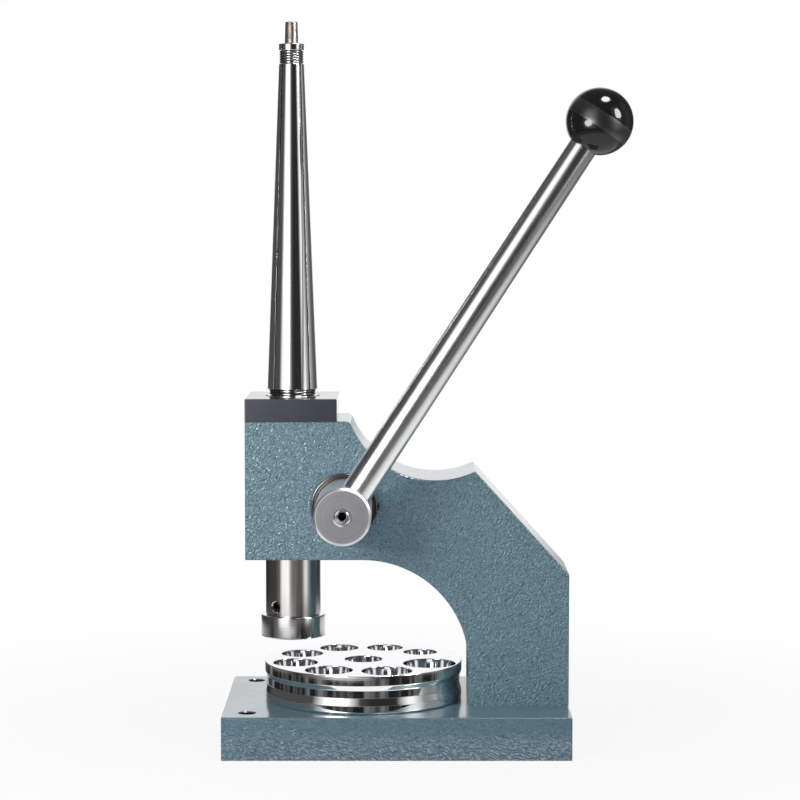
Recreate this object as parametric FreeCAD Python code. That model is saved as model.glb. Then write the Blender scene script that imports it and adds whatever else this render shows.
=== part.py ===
"""Bench ring stretcher and reducer: a lever press with a split mandrel above and a graded die below.

Millimetres, +Z up, +X to the right of the front view, the lever on the -Y side.
The origin is the centre of the base plate's underside.
"""
import FreeCAD, Part
import math
import os

# Base plate
base_length = 169.0
base_height = 21.0
die_margin = 6.0
bench_hole_d = 8.0
bench_hole_inset = 12.0
edge_round = 0.8

# Column frame, one casting with a throat below its head
frame_thickness = 50.0
column_width = 49.2
throat_height = 72.0
head_height = 68.2
arch_gap = 3.0
shoulder_rise = 64.8
apex_rise = 115.7
apex_inset = 3.1
saddle_sag = 14.5
saddle_ledge = 6.2
saddle_lip = 3.0

# Cap screws that hold the column to the base from beneath
column_screw_d = 8.0
column_screw_depth = 16.0
column_screw_x_share = 0.3
column_screw_y = 13.0
screw_head_cover = 2.0

# Reducing die and its pivot post
die_height = 18.8
hole_pitch_r = 35.0
hole_count = 8
largest_hole_d = 26.0
smallest_hole_d = 17.0
first_hole_angle = -20.0
hole_web = 4.7
hole_taper = 0.07
rim_wall = 1.0
upper_band = 4.9
upper_bevel = 2.3
lower_bevel = 3.2
lower_band = 4.4
waist_depth = 0.9
post_d = 18.6
post_drop = 5.0
post_spigot_d = 14.0
post_spigot_depth = 8.0
post_screw_d = 6.0
post_screw_grip = 13.0

# Ram, its foot and the rack cut along it
ram_d = 27.2
foot_d = 31.8
foot_height = 10.9
foot_spigot_d = 16.0
foot_spigot_length = 10.0
work_gap = 12.2
stroke_up = 6.0
foot_screw_d = 5.0
foot_screw_angle = -128.0
foot_screw_rise = 4.6

# Rack and pinion
module = 1.75
pinion_teeth = 16
pressure_angle = math.radians(20.0)
rack_inset = 1.6
rack_addendum = 0.9
tooth_root_gap = 0.4
pinion_dedendum = 1.6
backlash = 0.25
pinion_rise = 26.8
pinion_half_face = 9.0

# Lever shaft, collar, rod and ball
shaft_d = 27.6
shaft_reach = 46.0
shaft_rim = 0.9
collar_d = 32.6
collar_width = 5.0
collar_screw_d = 4.0
collar_screw_proud = 0.9
lock_screw_d = 8.0
lock_screw_sink = 0.5
rod_setback = 13.0
rod_angle = 56.9
rod_root_d = 14.8
rod_end_d = 13.8
rod_tail = 9.0
rod_plain = 24.0
ball_d = 32.0
ball_reach = 222.0
ball_flat_share = 0.89
knob_stud_d = 8.0
knob_stud_length = 15.0
insert_d = 13.0
insert_length = 17.0

# Mandrel seat and the flanged bush inside it
seat_width = 45.0
seat_height = 10.9
bush_flange = 3.6
bush_flange_over = 1.9
bush_bore_d = 22.0
bush_screw_d = 5.0
seat_screw_d = 3.0

# Split mandrel, expander rod and garter springs
mandrel_length = 173.1
mandrel_base_d = 25.2
mandrel_top_d = 12.4
mandrel_head_d = 12.5
mandrel_head = 3.2
segment_count = 4
slit_width = 0.8
segment_foot_over = 2.1
segment_foot = 3.2
expander_tip_d = 6.0
expander_taper = 0.03
expander_proud = 10.7
expander_stud_d = 10.0
expander_stud_length = 14.0
lock_nut_flats = 17.0
lock_nut_height = 6.0
upper_wire_d = 1.2
upper_turns = 5
upper_floor_wall = 0.7
lower_wire_d = 1.35
lower_turns = 2
lower_floor_wall = 1.3

# Clearances
press_gap = 0.05
running_gap = 0.05
thread_gap = 0.05
face_gap = 0.15
spring_gap = 0.3
wedge_gap = 0.15
stop_gap = 0.3
turn_gap = 0.05
lip_gap = 0.8
chamfer = 0.5
screw_rim_share = 0.12

# Heights and places that follow from the sizes above
X_AXIS = FreeCAD.Vector(1, 0, 0)
Y_AXIS = FreeCAD.Vector(0, 1, 0)
Z_AXIS = FreeCAD.Vector(0, 0, 1)
FRONT = FreeCAD.Vector(0, -1, 0)

frame_front = frame_thickness / 2
die_r = hole_pitch_r + largest_hole_d / 2 + rim_wall
base_depth = 2 * (die_r + die_margin)
arch_r = die_r + arch_gap
column_right = base_length / 2
column_left = column_right - column_width
die_x = column_left - arch_r
die_bottom = base_height + running_gap
die_top = die_bottom + die_height
ram_x = die_x - hole_pitch_r
frame_left = ram_x - seat_width / 2
seat_right = ram_x + seat_width / 2

head_bottom = base_height + throat_height
head_top = head_bottom + head_height
seat_top = head_top + seat_height
mandrel_top = seat_top + mandrel_length
expander_top = mandrel_top + expander_proud
shoulder_z = base_height + shoulder_rise
apex_z = base_height + apex_rise

ram_r = ram_d / 2
foot_bottom = die_top + work_gap
ram_bottom = foot_bottom + foot_height
stroke_down = work_gap - stop_gap

tooth_pitch = math.pi * module
pitch_r = module * pinion_teeth / 2
pinion_tip_r = pitch_r + module
pinion_root_r = pitch_r - pinion_dedendum
rack_line = ram_r - rack_inset
rack_root = rack_line - module - tooth_root_gap
pinion_x = ram_x + rack_line + pitch_r
pinion_z = head_bottom + pinion_rise
mesh_reach = math.sqrt(pinion_tip_r ** 2 - (pitch_r - rack_addendum) ** 2)
gaps_above = math.ceil((stroke_down + mesh_reach) / tooth_pitch)
gaps_below = math.ceil((stroke_up + mesh_reach) / tooth_pitch)
rack_bottom = pinion_z - (gaps_below + 0.5) * tooth_pitch
ram_top = pinion_z + (gaps_above + 0.5) * tooth_pitch
bush_bottom = ram_top + stroke_up + stop_gap

shaft_r = shaft_d / 2
journal_r = pinion_tip_r + running_gap
journal_start = pinion_half_face + turn_gap
shaft_end = frame_front + shaft_reach
rod_t = shaft_end - rod_setback
ball_flat = ball_reach - ball_flat_share * ball_d / 2
rod_direction = FreeCAD.Vector(math.cos(math.radians(rod_angle)), 0, math.sin(math.radians(rod_angle)))
rod_origin = FreeCAD.Vector(pinion_x, -rod_t, pinion_z)

bush_flange_r = ram_r + bush_flange_over
segment_bottom = head_top + bush_flange + face_gap
seat_lip_z = segment_bottom + segment_foot + face_gap
lower_groove_z = seat_top + spring_gap
lower_groove_top = lower_groove_z + lower_turns * (lower_wire_d + turn_gap) + spring_gap
upper_groove_top = mandrel_top - mandrel_head
upper_groove_z = upper_groove_top - upper_turns * (upper_wire_d + turn_gap) - spring_gap


def expander_r(z):
    """Radius of the expander's cone at a height."""
    return expander_tip_d / 2 + expander_taper * (expander_top - z)


def mandrel_bore_r(z):
    """Radius of the segments' inner cone, parallel to the expander."""
    return expander_r(z) + wedge_gap


def mandrel_r(z):
    """Outer radius of the mandrel between the seat and the upper spring's groove."""
    share = (z - seat_top) / (upper_groove_z - seat_top)
    return (mandrel_base_d + share * (mandrel_top_d - mandrel_base_d)) / 2


def placed(shape, origin, direction):
    """Stand a shape that was made along +Z at a point, along a direction."""
    shape.Placement = FreeCAD.Placement(origin, FreeCAD.Rotation(Z_AXIS, direction))
    return shape


def turned(profile):
    """Revolve (radius, height) points about the Z axis."""
    points = [FreeCAD.Vector(radius, 0, height) for radius, height in profile]
    face = Part.Face(Part.makePolygon(points + points[:1]))
    return face.revolve(FreeCAD.Vector(), Z_AXIS, 360)


def drilled(shape, radius, start, direction, depth):
    """Cut a round hole."""
    return shape.cut(Part.makeCylinder(radius, depth, start, direction))


def mouth_broken(shape, radius, mouth, outward):
    """Chamfer the mouth of a round hole."""
    cone = Part.makeCone(radius, radius + 2 * chamfer, 2 * chamfer)
    return shape.cut(placed(cone, mouth - outward * chamfer, outward))


def hexagon(across_flats, height):
    """Hexagonal prism on the XY plane."""
    corner = across_flats / math.sqrt(3)
    turns = [math.radians(60 * step) for step in range(7)]
    points = [FreeCAD.Vector(corner * math.cos(turn), corner * math.sin(turn), 0) for turn in turns]
    return Part.Face(Part.makePolygon(points)).extrude(Z_AXIS * height)


def grub_screw(diameter, length):
    """Set screw along +Z with its hexagon socket in the +Z end."""
    radius = diameter / 2 - thread_gap
    socket = hexagon(diameter / 2, length / 2)
    socket.translate(Z_AXIS * (length / 2))
    point = min(radius, length) / 4
    rim = diameter * screw_rim_share
    body = turned([(0, 0), (radius - point, 0), (radius, point), (radius, length - rim),
                   (radius - rim, length), (0, length)])
    return body.cut(socket)


def cap_screw(diameter, length):
    """Socket-head screw with its head below the XY plane and its shank along +Z."""
    radius = diameter / 2 - thread_gap
    head_r = 0.75 * diameter
    socket = hexagon(0.75 * diameter, diameter / 2)
    socket.translate(Z_AXIS * -diameter)
    profile = [(0, -diameter), (head_r, -diameter), (head_r, 0), (radius, 0), (radius, length), (0, length)]
    return turned(profile).cut(socket)


def rounded(shape, radius, wanted):
    """Round the edges that a test picks."""
    return shape.makeFillet(radius, [edge for edge in shape.Edges if wanted(edge)])


def column_screw_places():
    """Centres of the four cap screws under the column."""
    middle = (column_left + column_right) / 2
    reach = column_screw_x_share * column_width
    return [(middle + sx * reach, sy * column_screw_y) for sx in (-1, 1) for sy in (-1, 1)]


def base_plate():
    corner = FreeCAD.Vector(-base_length / 2, -base_depth / 2, 0)
    plate = Part.makeBox(base_length, base_depth, base_height, corner)
    plate = rounded(plate, edge_round, lambda edge: edge.BoundBox.ZMax > edge_round)
    hole_x = bench_hole_inset - base_length / 2
    for side in (-1, 1):
        start = FreeCAD.Vector(hole_x, side * (base_depth / 2 - bench_hole_inset), 0)
        plate = drilled(plate, bench_hole_d / 2, start, Z_AXIS, base_height)
        plate = mouth_broken(plate, bench_hole_d / 2, start + Z_AXIS * base_height, Z_AXIS)
    for x, y in column_screw_places():
        start = FreeCAD.Vector(x, y, 0)
        plate = drilled(plate, column_screw_d / 2, start, Z_AXIS, base_height)
        plate = drilled(plate, column_screw_d, start, Z_AXIS, column_screw_d + screw_head_cover)
    start = FreeCAD.Vector(die_x, 0, 0)
    spigot_floor = FreeCAD.Vector(die_x, 0, base_height - post_spigot_depth)
    plate = drilled(plate, post_screw_d / 2, start, Z_AXIS, base_height)
    plate = drilled(plate, post_screw_d, start, Z_AXIS, post_screw_d + screw_head_cover / 2)
    return drilled(plate, post_spigot_d / 2 + press_gap, spigot_floor, Z_AXIS, post_spigot_depth)


def frame_outline():
    """Side profile of the casting in the XZ plane, on its front face."""
    def at(x, z):
        return FreeCAD.Vector(x, -frame_front, z)

    arch_z = head_bottom - arch_r
    diagonal = arch_r * math.sqrt(0.5)
    arch_start = at(die_x, head_bottom)
    arch_end = at(column_left, arch_z)
    apex = at(column_left + apex_inset, apex_z)
    lip = at(seat_right + saddle_ledge, head_top)
    chord = lip - apex
    sag = FreeCAD.Vector(chord.z, 0, -chord.x).normalize() * saddle_sag
    middle = apex + chord * 0.5
    sag_low = middle + sag if sag.z < 0 else middle - sag
    corners = [arch_end, at(column_left, base_height), at(column_right, base_height),
               at(column_right, shoulder_z), apex]
    ends = [lip, at(frame_left, head_top), at(frame_left, head_bottom), arch_start]
    arch_middle = at(die_x + diagonal, arch_z + diagonal)
    edges = [Part.Arc(arch_start, arch_middle, arch_end).toShape()]
    edges += [Part.makeLine(a, b) for a, b in zip(corners, corners[1:])]
    edges.append(Part.Arc(apex, sag_low, lip).toShape())
    edges += [Part.makeLine(a, b) for a, b in zip(ends, ends[1:])]
    return Part.Face(Part.Wire(edges))


def column_frame():
    body = frame_outline().extrude(Y_AXIS * frame_thickness)
    lip_x = seat_right + saddle_ledge

    def is_lip(edge):
        box = edge.BoundBox
        return abs(box.XMin - lip_x) + abs(box.XMax - lip_x) < 1e-3 and box.YLength > edge_round

    def on_side_face(edge):
        return edge.BoundBox.YLength < 1e-3 and edge.BoundBox.ZMax > base_height + edge_round

    body = rounded(rounded(body, saddle_lip, is_lip), edge_round, on_side_face)
    ram_start = FreeCAD.Vector(ram_x, 0, head_bottom)
    body = drilled(body, ram_r + running_gap, ram_start, Z_AXIS, head_height)
    shaft_start = FreeCAD.Vector(pinion_x, frame_front, pinion_z)
    body = drilled(body, shaft_r + running_gap, shaft_start, FRONT, frame_thickness)
    body = drilled(body, journal_r + running_gap, shaft_start, FRONT, frame_front + journal_start + face_gap)
    for x, y in column_screw_places():
        start = FreeCAD.Vector(x, y, base_height)
        body = drilled(body, column_screw_d / 2, start, Z_AXIS, column_screw_depth + thread_gap)
    screw_start = FreeCAD.Vector(ram_x, 0, (bush_bottom + head_top) / 2)
    return drilled(body, bush_screw_d / 2, screw_start, Y_AXIS, frame_thickness)


def column_screws():
    head_z = column_screw_d + screw_head_cover
    length = base_height - head_z + column_screw_depth
    screws = []
    for x, y in column_screw_places():
        screw = cap_screw(column_screw_d, length)
        screw.translate(FreeCAD.Vector(x, y, head_z))
        screws.append(screw)
    return Part.makeCompound(screws)


def die_post():
    post_r = post_d / 2
    spigot_r = post_spigot_d / 2
    floor = base_height - post_spigot_depth + thread_gap
    top = die_top - post_drop
    post = turned([(0, floor), (spigot_r, floor), (spigot_r, base_height), (post_r, base_height),
                   (post_r, top - chamfer), (post_r - chamfer, top), (0, top)])
    post.translate(X_AXIS * die_x)
    start = FreeCAD.Vector(die_x, 0, floor)
    return drilled(post, post_screw_d / 2, start, Z_AXIS, post_screw_grip)


def die_post_screw():
    head_z = post_screw_d + screw_head_cover / 2
    floor = base_height - post_spigot_depth
    screw = cap_screw(post_screw_d, floor - head_z + post_screw_grip - thread_gap)
    screw.translate(FreeCAD.Vector(die_x, 0, head_z))
    return screw


def die_holes():
    """Radius and angle of each hole, largest first, with even webs and a wider one after the smallest."""
    step = (largest_hole_d - smallest_hole_d) / (hole_count - 1)
    radii = [(largest_hole_d - index * step) / 2 for index in range(hole_count)]
    spans = [math.asin(radius / hole_pitch_r) for radius in radii]
    angle = math.radians(first_hole_angle)
    places = [(radii[0], angle)]
    for index in range(1, hole_count):
        angle -= spans[index - 1] + hole_web / hole_pitch_r + spans[index]
        places.append((radii[index], angle))
    return places


def reducing_die():
    waist_r = die_r - waist_depth
    upper_edge = die_top - upper_band
    lower_edge = die_bottom + lower_band
    bore_r = post_d / 2 + running_gap
    die = turned([(bore_r, die_bottom), (die_r - chamfer, die_bottom), (die_r, die_bottom + chamfer),
                  (die_r, lower_edge), (waist_r, lower_edge + lower_bevel),
                  (waist_r, upper_edge - upper_bevel), (die_r, upper_edge),
                  (die_r, die_top - chamfer), (die_r - chamfer, die_top), (bore_r, die_top)])
    for radius, angle in die_holes():
        hole = Part.makeCone(radius - hole_taper * die_height, radius, die_height)
        place = FreeCAD.Vector(hole_pitch_r * math.cos(angle), hole_pitch_r * math.sin(angle), die_bottom)
        hole.translate(place)
        die = die.cut(hole)
    die.translate(X_AXIS * die_x)
    return die


def rack_gap(height):
    """Space between two rack teeth, as a bar along Y."""
    slope = math.tan(pressure_angle)
    half = tooth_pitch / 4 + backlash / 4
    inner = half - slope * (rack_line - rack_root)
    outer_x = ram_r + chamfer
    outer = half + slope * (outer_x - rack_line)
    sides = [(rack_root, -inner), (outer_x, -outer), (outer_x, outer), (rack_root, inner)]
    points = [FreeCAD.Vector(ram_x + x, -ram_r, height + z) for x, z in sides]
    return Part.Face(Part.makePolygon(points + points[:1])).extrude(Y_AXIS * ram_d)


def foot_screw_axis():
    """Direction of the foot's set screw, out of the ram."""
    angle = math.radians(foot_screw_angle)
    return FreeCAD.Vector(math.cos(angle), math.sin(angle), 0)


def ram():
    body = turned([(0, ram_bottom), (ram_r - chamfer, ram_bottom), (ram_r, ram_bottom + chamfer),
                   (ram_r, ram_top - chamfer), (ram_r - chamfer, ram_top), (0, ram_top)])
    body.translate(X_AXIS * ram_x)
    flat_x = ram_x + rack_line + rack_addendum
    flat_corner = FreeCAD.Vector(flat_x, -ram_r, rack_bottom)
    body = body.cut(Part.makeBox(ram_r, ram_d, ram_top - rack_bottom, flat_corner))
    for index in range(-gaps_below, gaps_above + 1):
        body = body.cut(rack_gap(pinion_z + index * tooth_pitch))
    spigot_start = FreeCAD.Vector(ram_x, 0, ram_bottom)
    body = drilled(body, foot_spigot_d / 2 + press_gap, spigot_start, Z_AXIS, foot_spigot_length + chamfer)
    stud_start = FreeCAD.Vector(ram_x, 0, ram_top)
    depth = expander_stud_length + chamfer
    body = drilled(body, expander_stud_d / 2, stud_start, -Z_AXIS, depth)
    outward = foot_screw_axis()
    centre = FreeCAD.Vector(ram_x, 0, ram_bottom + foot_screw_rise)
    body = drilled(body, foot_screw_d / 2, centre, outward, ram_d)
    return mouth_broken(body, foot_screw_d / 2, centre + outward * (ram_r - chamfer / 2), outward)


def ram_foot():
    foot_r = foot_d / 2
    spigot_r = foot_spigot_d / 2
    spigot_top = ram_bottom + foot_spigot_length
    foot = turned([(0, foot_bottom), (foot_r - chamfer, foot_bottom), (foot_r, foot_bottom + chamfer),
                   (foot_r, ram_bottom - chamfer), (foot_r - chamfer, ram_bottom), (spigot_r, ram_bottom),
                   (spigot_r, spigot_top - chamfer), (spigot_r - chamfer, spigot_top), (0, spigot_top)])
    foot.translate(X_AXIS * ram_x)
    return foot


def foot_screw():
    outward = foot_screw_axis()
    start = foot_spigot_d / 2 + press_gap
    length = ram_r - 2 * chamfer - start
    origin = FreeCAD.Vector(ram_x, 0, ram_bottom + foot_screw_rise) + outward * start
    return placed(grub_screw(foot_screw_d, length), origin, outward)


def expander_rod():
    cone_bottom = ram_top + lock_nut_height
    stud_r = expander_stud_d / 2 - thread_gap
    stud_bottom = ram_top - expander_stud_length
    cone_top = expander_top - chamfer
    tip_r = expander_tip_d / 2 - chamfer
    rod = turned([(0, stud_bottom), (stud_r, stud_bottom), (stud_r, cone_bottom),
                  (expander_r(cone_bottom), cone_bottom), (expander_r(cone_top), cone_top),
                  (tip_r, expander_top), (0, expander_top)])
    rod.translate(X_AXIS * ram_x)
    return rod


def rod_lock_nut():
    nut = hexagon(lock_nut_flats, lock_nut_height)
    nut = drilled(nut, expander_stud_d / 2, FreeCAD.Vector(), Z_AXIS, lock_nut_height)
    nut.translate(FreeCAD.Vector(ram_x, 0, ram_top))
    return nut


def pinion_section():
    """Gear outline: involute flanks as arcs through three points, one tooth towards the ram."""
    base_r = pitch_r * math.cos(pressure_angle)
    thickness = tooth_pitch / 2 - backlash / 2
    involute_pitch = math.tan(pressure_angle) - pressure_angle

    def half_angle(radius):
        roll = math.acos(min(1.0, base_r / radius))
        return thickness / (2 * pitch_r) + involute_pitch - (math.tan(roll) - roll)

    def at(radius, angle):
        return FreeCAD.Vector(radius * math.cos(angle), radius * math.sin(angle), 0)

    flank_radii = (base_r, (base_r + pinion_tip_r) / 2, pinion_tip_r)
    root_half = half_angle(base_r)
    step = 2 * math.pi / pinion_teeth
    edges = []
    for index in range(pinion_teeth):
        middle = math.pi + index * step
        rising = [at(radius, middle - half_angle(radius)) for radius in flank_radii]
        falling = [at(radius, middle + half_angle(radius)) for radius in reversed(flank_radii)]
        root_in = at(pinion_root_r, middle - root_half)
        root_out = at(pinion_root_r, middle + root_half)
        root_next = at(pinion_root_r, middle + step - root_half)
        edges.append(Part.makeLine(root_in, rising[0]))
        edges.append(Part.Arc(*rising).toShape())
        edges.append(Part.Arc(rising[2], at(pinion_tip_r, middle), falling[0]).toShape())
        edges.append(Part.Arc(*falling).toShape())
        edges.append(Part.makeLine(falling[2], root_out))
        edges.append(Part.Arc(root_out, at(pinion_root_r, middle + step / 2), root_next).toShape())
    return Part.Face(Part.Wire(edges))


def pinion_shaft():
    """Shaft made along +Z, from the back of the frame to its bare front end, then laid along -Y."""
    teeth = pinion_section().extrude(Z_AXIS * (2 * pinion_half_face))
    teeth.translate(Z_AXIS * -pinion_half_face)
    body = turned([(0, -frame_front), (journal_r - chamfer, -frame_front), (journal_r, chamfer - frame_front),
                   (journal_r, -pinion_half_face), (pinion_root_r, -pinion_half_face),
                   (pinion_root_r, pinion_half_face), (shaft_r, pinion_half_face),
                   (shaft_r, shaft_end - shaft_rim), (shaft_r - shaft_rim, shaft_end), (0, shaft_end)])
    body = body.fuse(teeth).removeSplitter()
    rod_hole_r = rod_root_d / 2 + press_gap
    hole_start = FreeCAD.Vector(0, 0, rod_t)
    across = FreeCAD.Vector(rod_direction.x, rod_direction.z, 0)
    body = drilled(body, rod_hole_r, hole_start - across * (rod_tail + press_gap), across, rod_tail + shaft_d)
    body = drilled(body, lock_screw_d / 2, hole_start, Z_AXIS, shaft_reach)
    body = mouth_broken(body, lock_screw_d / 2, Z_AXIS * shaft_end, Z_AXIS)
    return placed(body, FreeCAD.Vector(pinion_x, 0, pinion_z), FRONT)


def retaining_collar():
    inner = shaft_r + press_gap
    outer = collar_d / 2
    start = frame_front + face_gap
    end = frame_front + collar_width
    ring = turned([(inner, start), (outer - chamfer, start), (outer, start + chamfer),
                   (outer, end - chamfer), (outer - chamfer, end), (inner, end)])
    middle = FreeCAD.Vector(0, 0, (start + end) / 2)
    ring = drilled(ring, collar_screw_d / 2, middle, X_AXIS, collar_d)
    return placed(ring, FreeCAD.Vector(pinion_x, 0, pinion_z), FRONT)


def collar_screw():
    start = shaft_r + press_gap
    length = collar_d / 2 + collar_screw_proud - start
    middle = frame_front + (collar_width + face_gap) / 2
    origin = FreeCAD.Vector(pinion_x + start, -middle, pinion_z)
    return placed(grub_screw(collar_screw_d, length), origin, X_AXIS)


def lever_lock_screw():
    start = rod_t + rod_root_d / 2 + press_gap
    length = shaft_end - lock_screw_sink - start
    origin = FreeCAD.Vector(pinion_x, -start, pinion_z)
    return placed(grub_screw(lock_screw_d, length), origin, FRONT)


def lever_rod():
    root_r = rod_root_d / 2
    stud_r = knob_stud_d / 2 - thread_gap
    stud_end = ball_flat + knob_stud_length
    rod = turned([(0, -rod_tail), (root_r - chamfer, -rod_tail), (root_r, chamfer - rod_tail),
                  (root_r, rod_plain), (rod_end_d / 2, ball_flat), (stud_r, ball_flat),
                  (stud_r, stud_end), (0, stud_end)])
    return placed(rod, rod_origin, rod_direction)


def ball_knob():
    ball_r = ball_d / 2
    ball = Part.makeSphere(ball_r)
    under = Part.makeCylinder(ball_d, ball_d, FreeCAD.Vector(0, 0, ball_flat - ball_reach), -Z_AXIS)
    ball = ball.cut(under)
    flat = FreeCAD.Vector(0, 0, ball_flat - ball_reach)
    ball = drilled(ball, insert_d / 2, flat, Z_AXIS, insert_length)
    return placed(ball, rod_origin + rod_direction * ball_reach, rod_direction)


def knob_insert():
    outer = insert_d / 2 - press_gap
    sleeve = Part.makeCylinder(outer, insert_length - press_gap)
    sleeve = drilled(sleeve, knob_stud_d / 2, FreeCAD.Vector(), Z_AXIS, insert_length)
    return placed(sleeve, rod_origin + rod_direction * (ball_flat + thread_gap), rod_direction)


def mandrel_seat():
    corner = FreeCAD.Vector(frame_left, -frame_front, head_top)
    block = Part.makeBox(seat_width, frame_thickness, seat_height, corner)
    block = rounded(block, chamfer, lambda edge: edge.BoundBox.ZMax > head_top + chamfer)
    axis = FreeCAD.Vector(ram_x, 0, head_top)
    block = drilled(block, mandrel_base_d / 2 + lip_gap, axis, Z_AXIS, seat_height)
    block = drilled(block, bush_flange_r + press_gap, axis, Z_AXIS, seat_lip_z - head_top)
    screw_start = axis + Z_AXIS * (bush_flange / 2)
    return drilled(block, seat_screw_d / 2, screw_start, Y_AXIS, frame_thickness)


def seat_bush():
    tube_r = ram_r + running_gap - press_gap
    bore_r = bush_bore_d / 2
    top = head_top + bush_flange
    bush = turned([(bore_r, bush_bottom), (tube_r, bush_bottom), (tube_r, head_top),
                   (bush_flange_r, head_top), (bush_flange_r, top), (bore_r, top)])
    bush.translate(X_AXIS * ram_x)
    return bush


def bush_screw():
    start = ram_r + running_gap
    origin = FreeCAD.Vector(ram_x, start, (bush_bottom + head_top) / 2)
    return placed(grub_screw(bush_screw_d, frame_front - chamfer - start), origin, Y_AXIS)


def seat_screw():
    start = bush_flange_r + press_gap
    origin = FreeCAD.Vector(ram_x, start, head_top + bush_flange / 2)
    return placed(grub_screw(seat_screw_d, frame_front - chamfer - start), origin, Y_AXIS)


def lower_floor_r():
    """Radius of the lower spring groove's floor."""
    return mandrel_bore_r(lower_groove_z) + lower_floor_wall


def upper_floor_r():
    """Radius of the upper spring groove's floor."""
    return mandrel_bore_r(upper_groove_z) + upper_floor_wall


def mandrel_sleeve():
    """The whole mandrel before it is slit, with its foot flange and two spring grooves."""
    base_r = mandrel_base_d / 2
    head_r = mandrel_head_d / 2
    foot_r = base_r + segment_foot_over
    foot_top = segment_bottom + segment_foot
    lower_r = lower_floor_r()
    upper_r = upper_floor_r()
    sleeve = turned([(mandrel_bore_r(segment_bottom), segment_bottom), (foot_r, segment_bottom),
                     (foot_r, foot_top), (base_r, foot_top), (base_r, lower_groove_z),
                     (lower_r, lower_groove_z), (lower_r, lower_groove_top),
                     (mandrel_r(lower_groove_top), lower_groove_top), (mandrel_top_d / 2, upper_groove_z),
                     (upper_r, upper_groove_z), (upper_r, upper_groove_top), (head_r, upper_groove_top),
                     (head_r, mandrel_top - chamfer), (head_r - chamfer, mandrel_top),
                     (mandrel_bore_r(mandrel_top), mandrel_top)])
    return sleeve


def mandrel_segment(index):
    """One quarter of the slit mandrel, facing +X turned by index quarters."""
    tip = slit_width / math.sqrt(2)
    reach = mandrel_base_d
    points = [FreeCAD.Vector(tip, 0, segment_bottom), FreeCAD.Vector(tip + reach, -reach, segment_bottom),
              FreeCAD.Vector(tip + reach, reach, segment_bottom)]
    wedge = Part.Face(Part.makePolygon(points + points[:1])).extrude(Z_AXIS * (mandrel_top - segment_bottom))
    segment = mandrel_sleeve().common(wedge)
    segment.rotate(FreeCAD.Vector(), Z_AXIS, index * 360 / segment_count)
    segment.translate(X_AXIS * ram_x)
    return segment


def garter_spring(wire_d, turns, floor_r, floor_z):
    """Close-wound turns of wire lying in a groove of the mandrel."""
    ring_r = floor_r + spring_gap + wire_d / 2
    pitch = wire_d + turn_gap
    rings = []
    for turn in range(turns):
        height = floor_z + spring_gap / 2 + pitch * (turn + 0.5)
        rings.append(Part.makeTorus(ring_r, wire_d / 2, FreeCAD.Vector(ram_x, 0, height), Z_AXIS))
    return Part.makeCompound(rings)


def all_parts():
    parts = {
        "base_plate": base_plate(),
        "column_frame": column_frame(),
        "column_screws": column_screws(),
        "mandrel_seat": mandrel_seat(),
        "seat_bush": seat_bush(),
        "bush_screw": bush_screw(),
        "seat_screw": seat_screw(),
        "die_post": die_post(),
        "die_post_screw": die_post_screw(),
        "upper_garter_spring": garter_spring(upper_wire_d, upper_turns, upper_floor_r(), upper_groove_z),
        "lower_garter_spring": garter_spring(lower_wire_d, lower_turns, lower_floor_r(), lower_groove_z),
        "reducing_die": reducing_die(),
        "pinion_shaft": pinion_shaft(),
        "retaining_collar": retaining_collar(),
        "collar_screw": collar_screw(),
        "lever_lock_screw": lever_lock_screw(),
        "lever_rod": lever_rod(),
        "ball_knob": ball_knob(),
        "knob_insert": knob_insert(),
        "ram": ram(),
        "ram_foot": ram_foot(),
        "foot_screw": foot_screw(),
        "expander_rod": expander_rod(),
        "rod_lock_nut": rod_lock_nut(),
    }
    for index, side in enumerate(("right", "back", "left", "front")):
        parts["mandrel_segment_" + side] = mandrel_segment(index)
    return parts


os.makedirs("parts", exist_ok=True)
for name, shape in all_parts().items():
    shape.exportStep("parts/" + name + ".step")
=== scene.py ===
"""Looks of a bench ring stretcher and reducer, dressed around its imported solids.

Metres, +Z up, +X to the right of the front view, the lever on the -Y side.
"""
import math

import bmesh
import bpy
from bpy.props import FloatProperty, FloatVectorProperty, IntProperty, PointerProperty
from mathutils import Matrix, Vector


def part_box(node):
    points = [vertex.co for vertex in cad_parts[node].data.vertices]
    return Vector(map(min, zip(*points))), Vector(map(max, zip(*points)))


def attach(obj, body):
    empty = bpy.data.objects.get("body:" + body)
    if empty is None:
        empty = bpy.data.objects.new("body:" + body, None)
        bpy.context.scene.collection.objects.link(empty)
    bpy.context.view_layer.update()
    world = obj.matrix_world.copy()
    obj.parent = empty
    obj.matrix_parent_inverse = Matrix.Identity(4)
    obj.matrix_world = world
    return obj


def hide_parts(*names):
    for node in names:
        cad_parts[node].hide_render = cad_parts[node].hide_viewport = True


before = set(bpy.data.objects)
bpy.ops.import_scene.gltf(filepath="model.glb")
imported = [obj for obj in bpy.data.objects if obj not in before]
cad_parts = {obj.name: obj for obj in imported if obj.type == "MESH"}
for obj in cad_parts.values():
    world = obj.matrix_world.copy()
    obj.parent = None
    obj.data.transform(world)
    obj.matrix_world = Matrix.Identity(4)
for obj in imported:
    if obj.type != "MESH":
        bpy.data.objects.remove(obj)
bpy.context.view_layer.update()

bl_info = {
    "name": "Ring stretcher looks",
    "version": (1, 0, 0),
    "blender": (4, 5, 0),
    "location": "3D View > Sidebar > Ring stretcher",
    "description": "Finishes, turned pieces, stacked springs and studio for a bench ring stretcher",
    "category": "Object",
}

MM = 0.001
TURN = 2 * math.pi
TINY = 1e-9
UP = Vector((0, 0, 1))
FRONT = Vector((0, -1, 0))
RIGHT = Vector((1, 0, 0))


def box_centre(node):
    """Middle of a CAD node's box."""
    low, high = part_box(node)
    return (low + high) / 2


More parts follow.
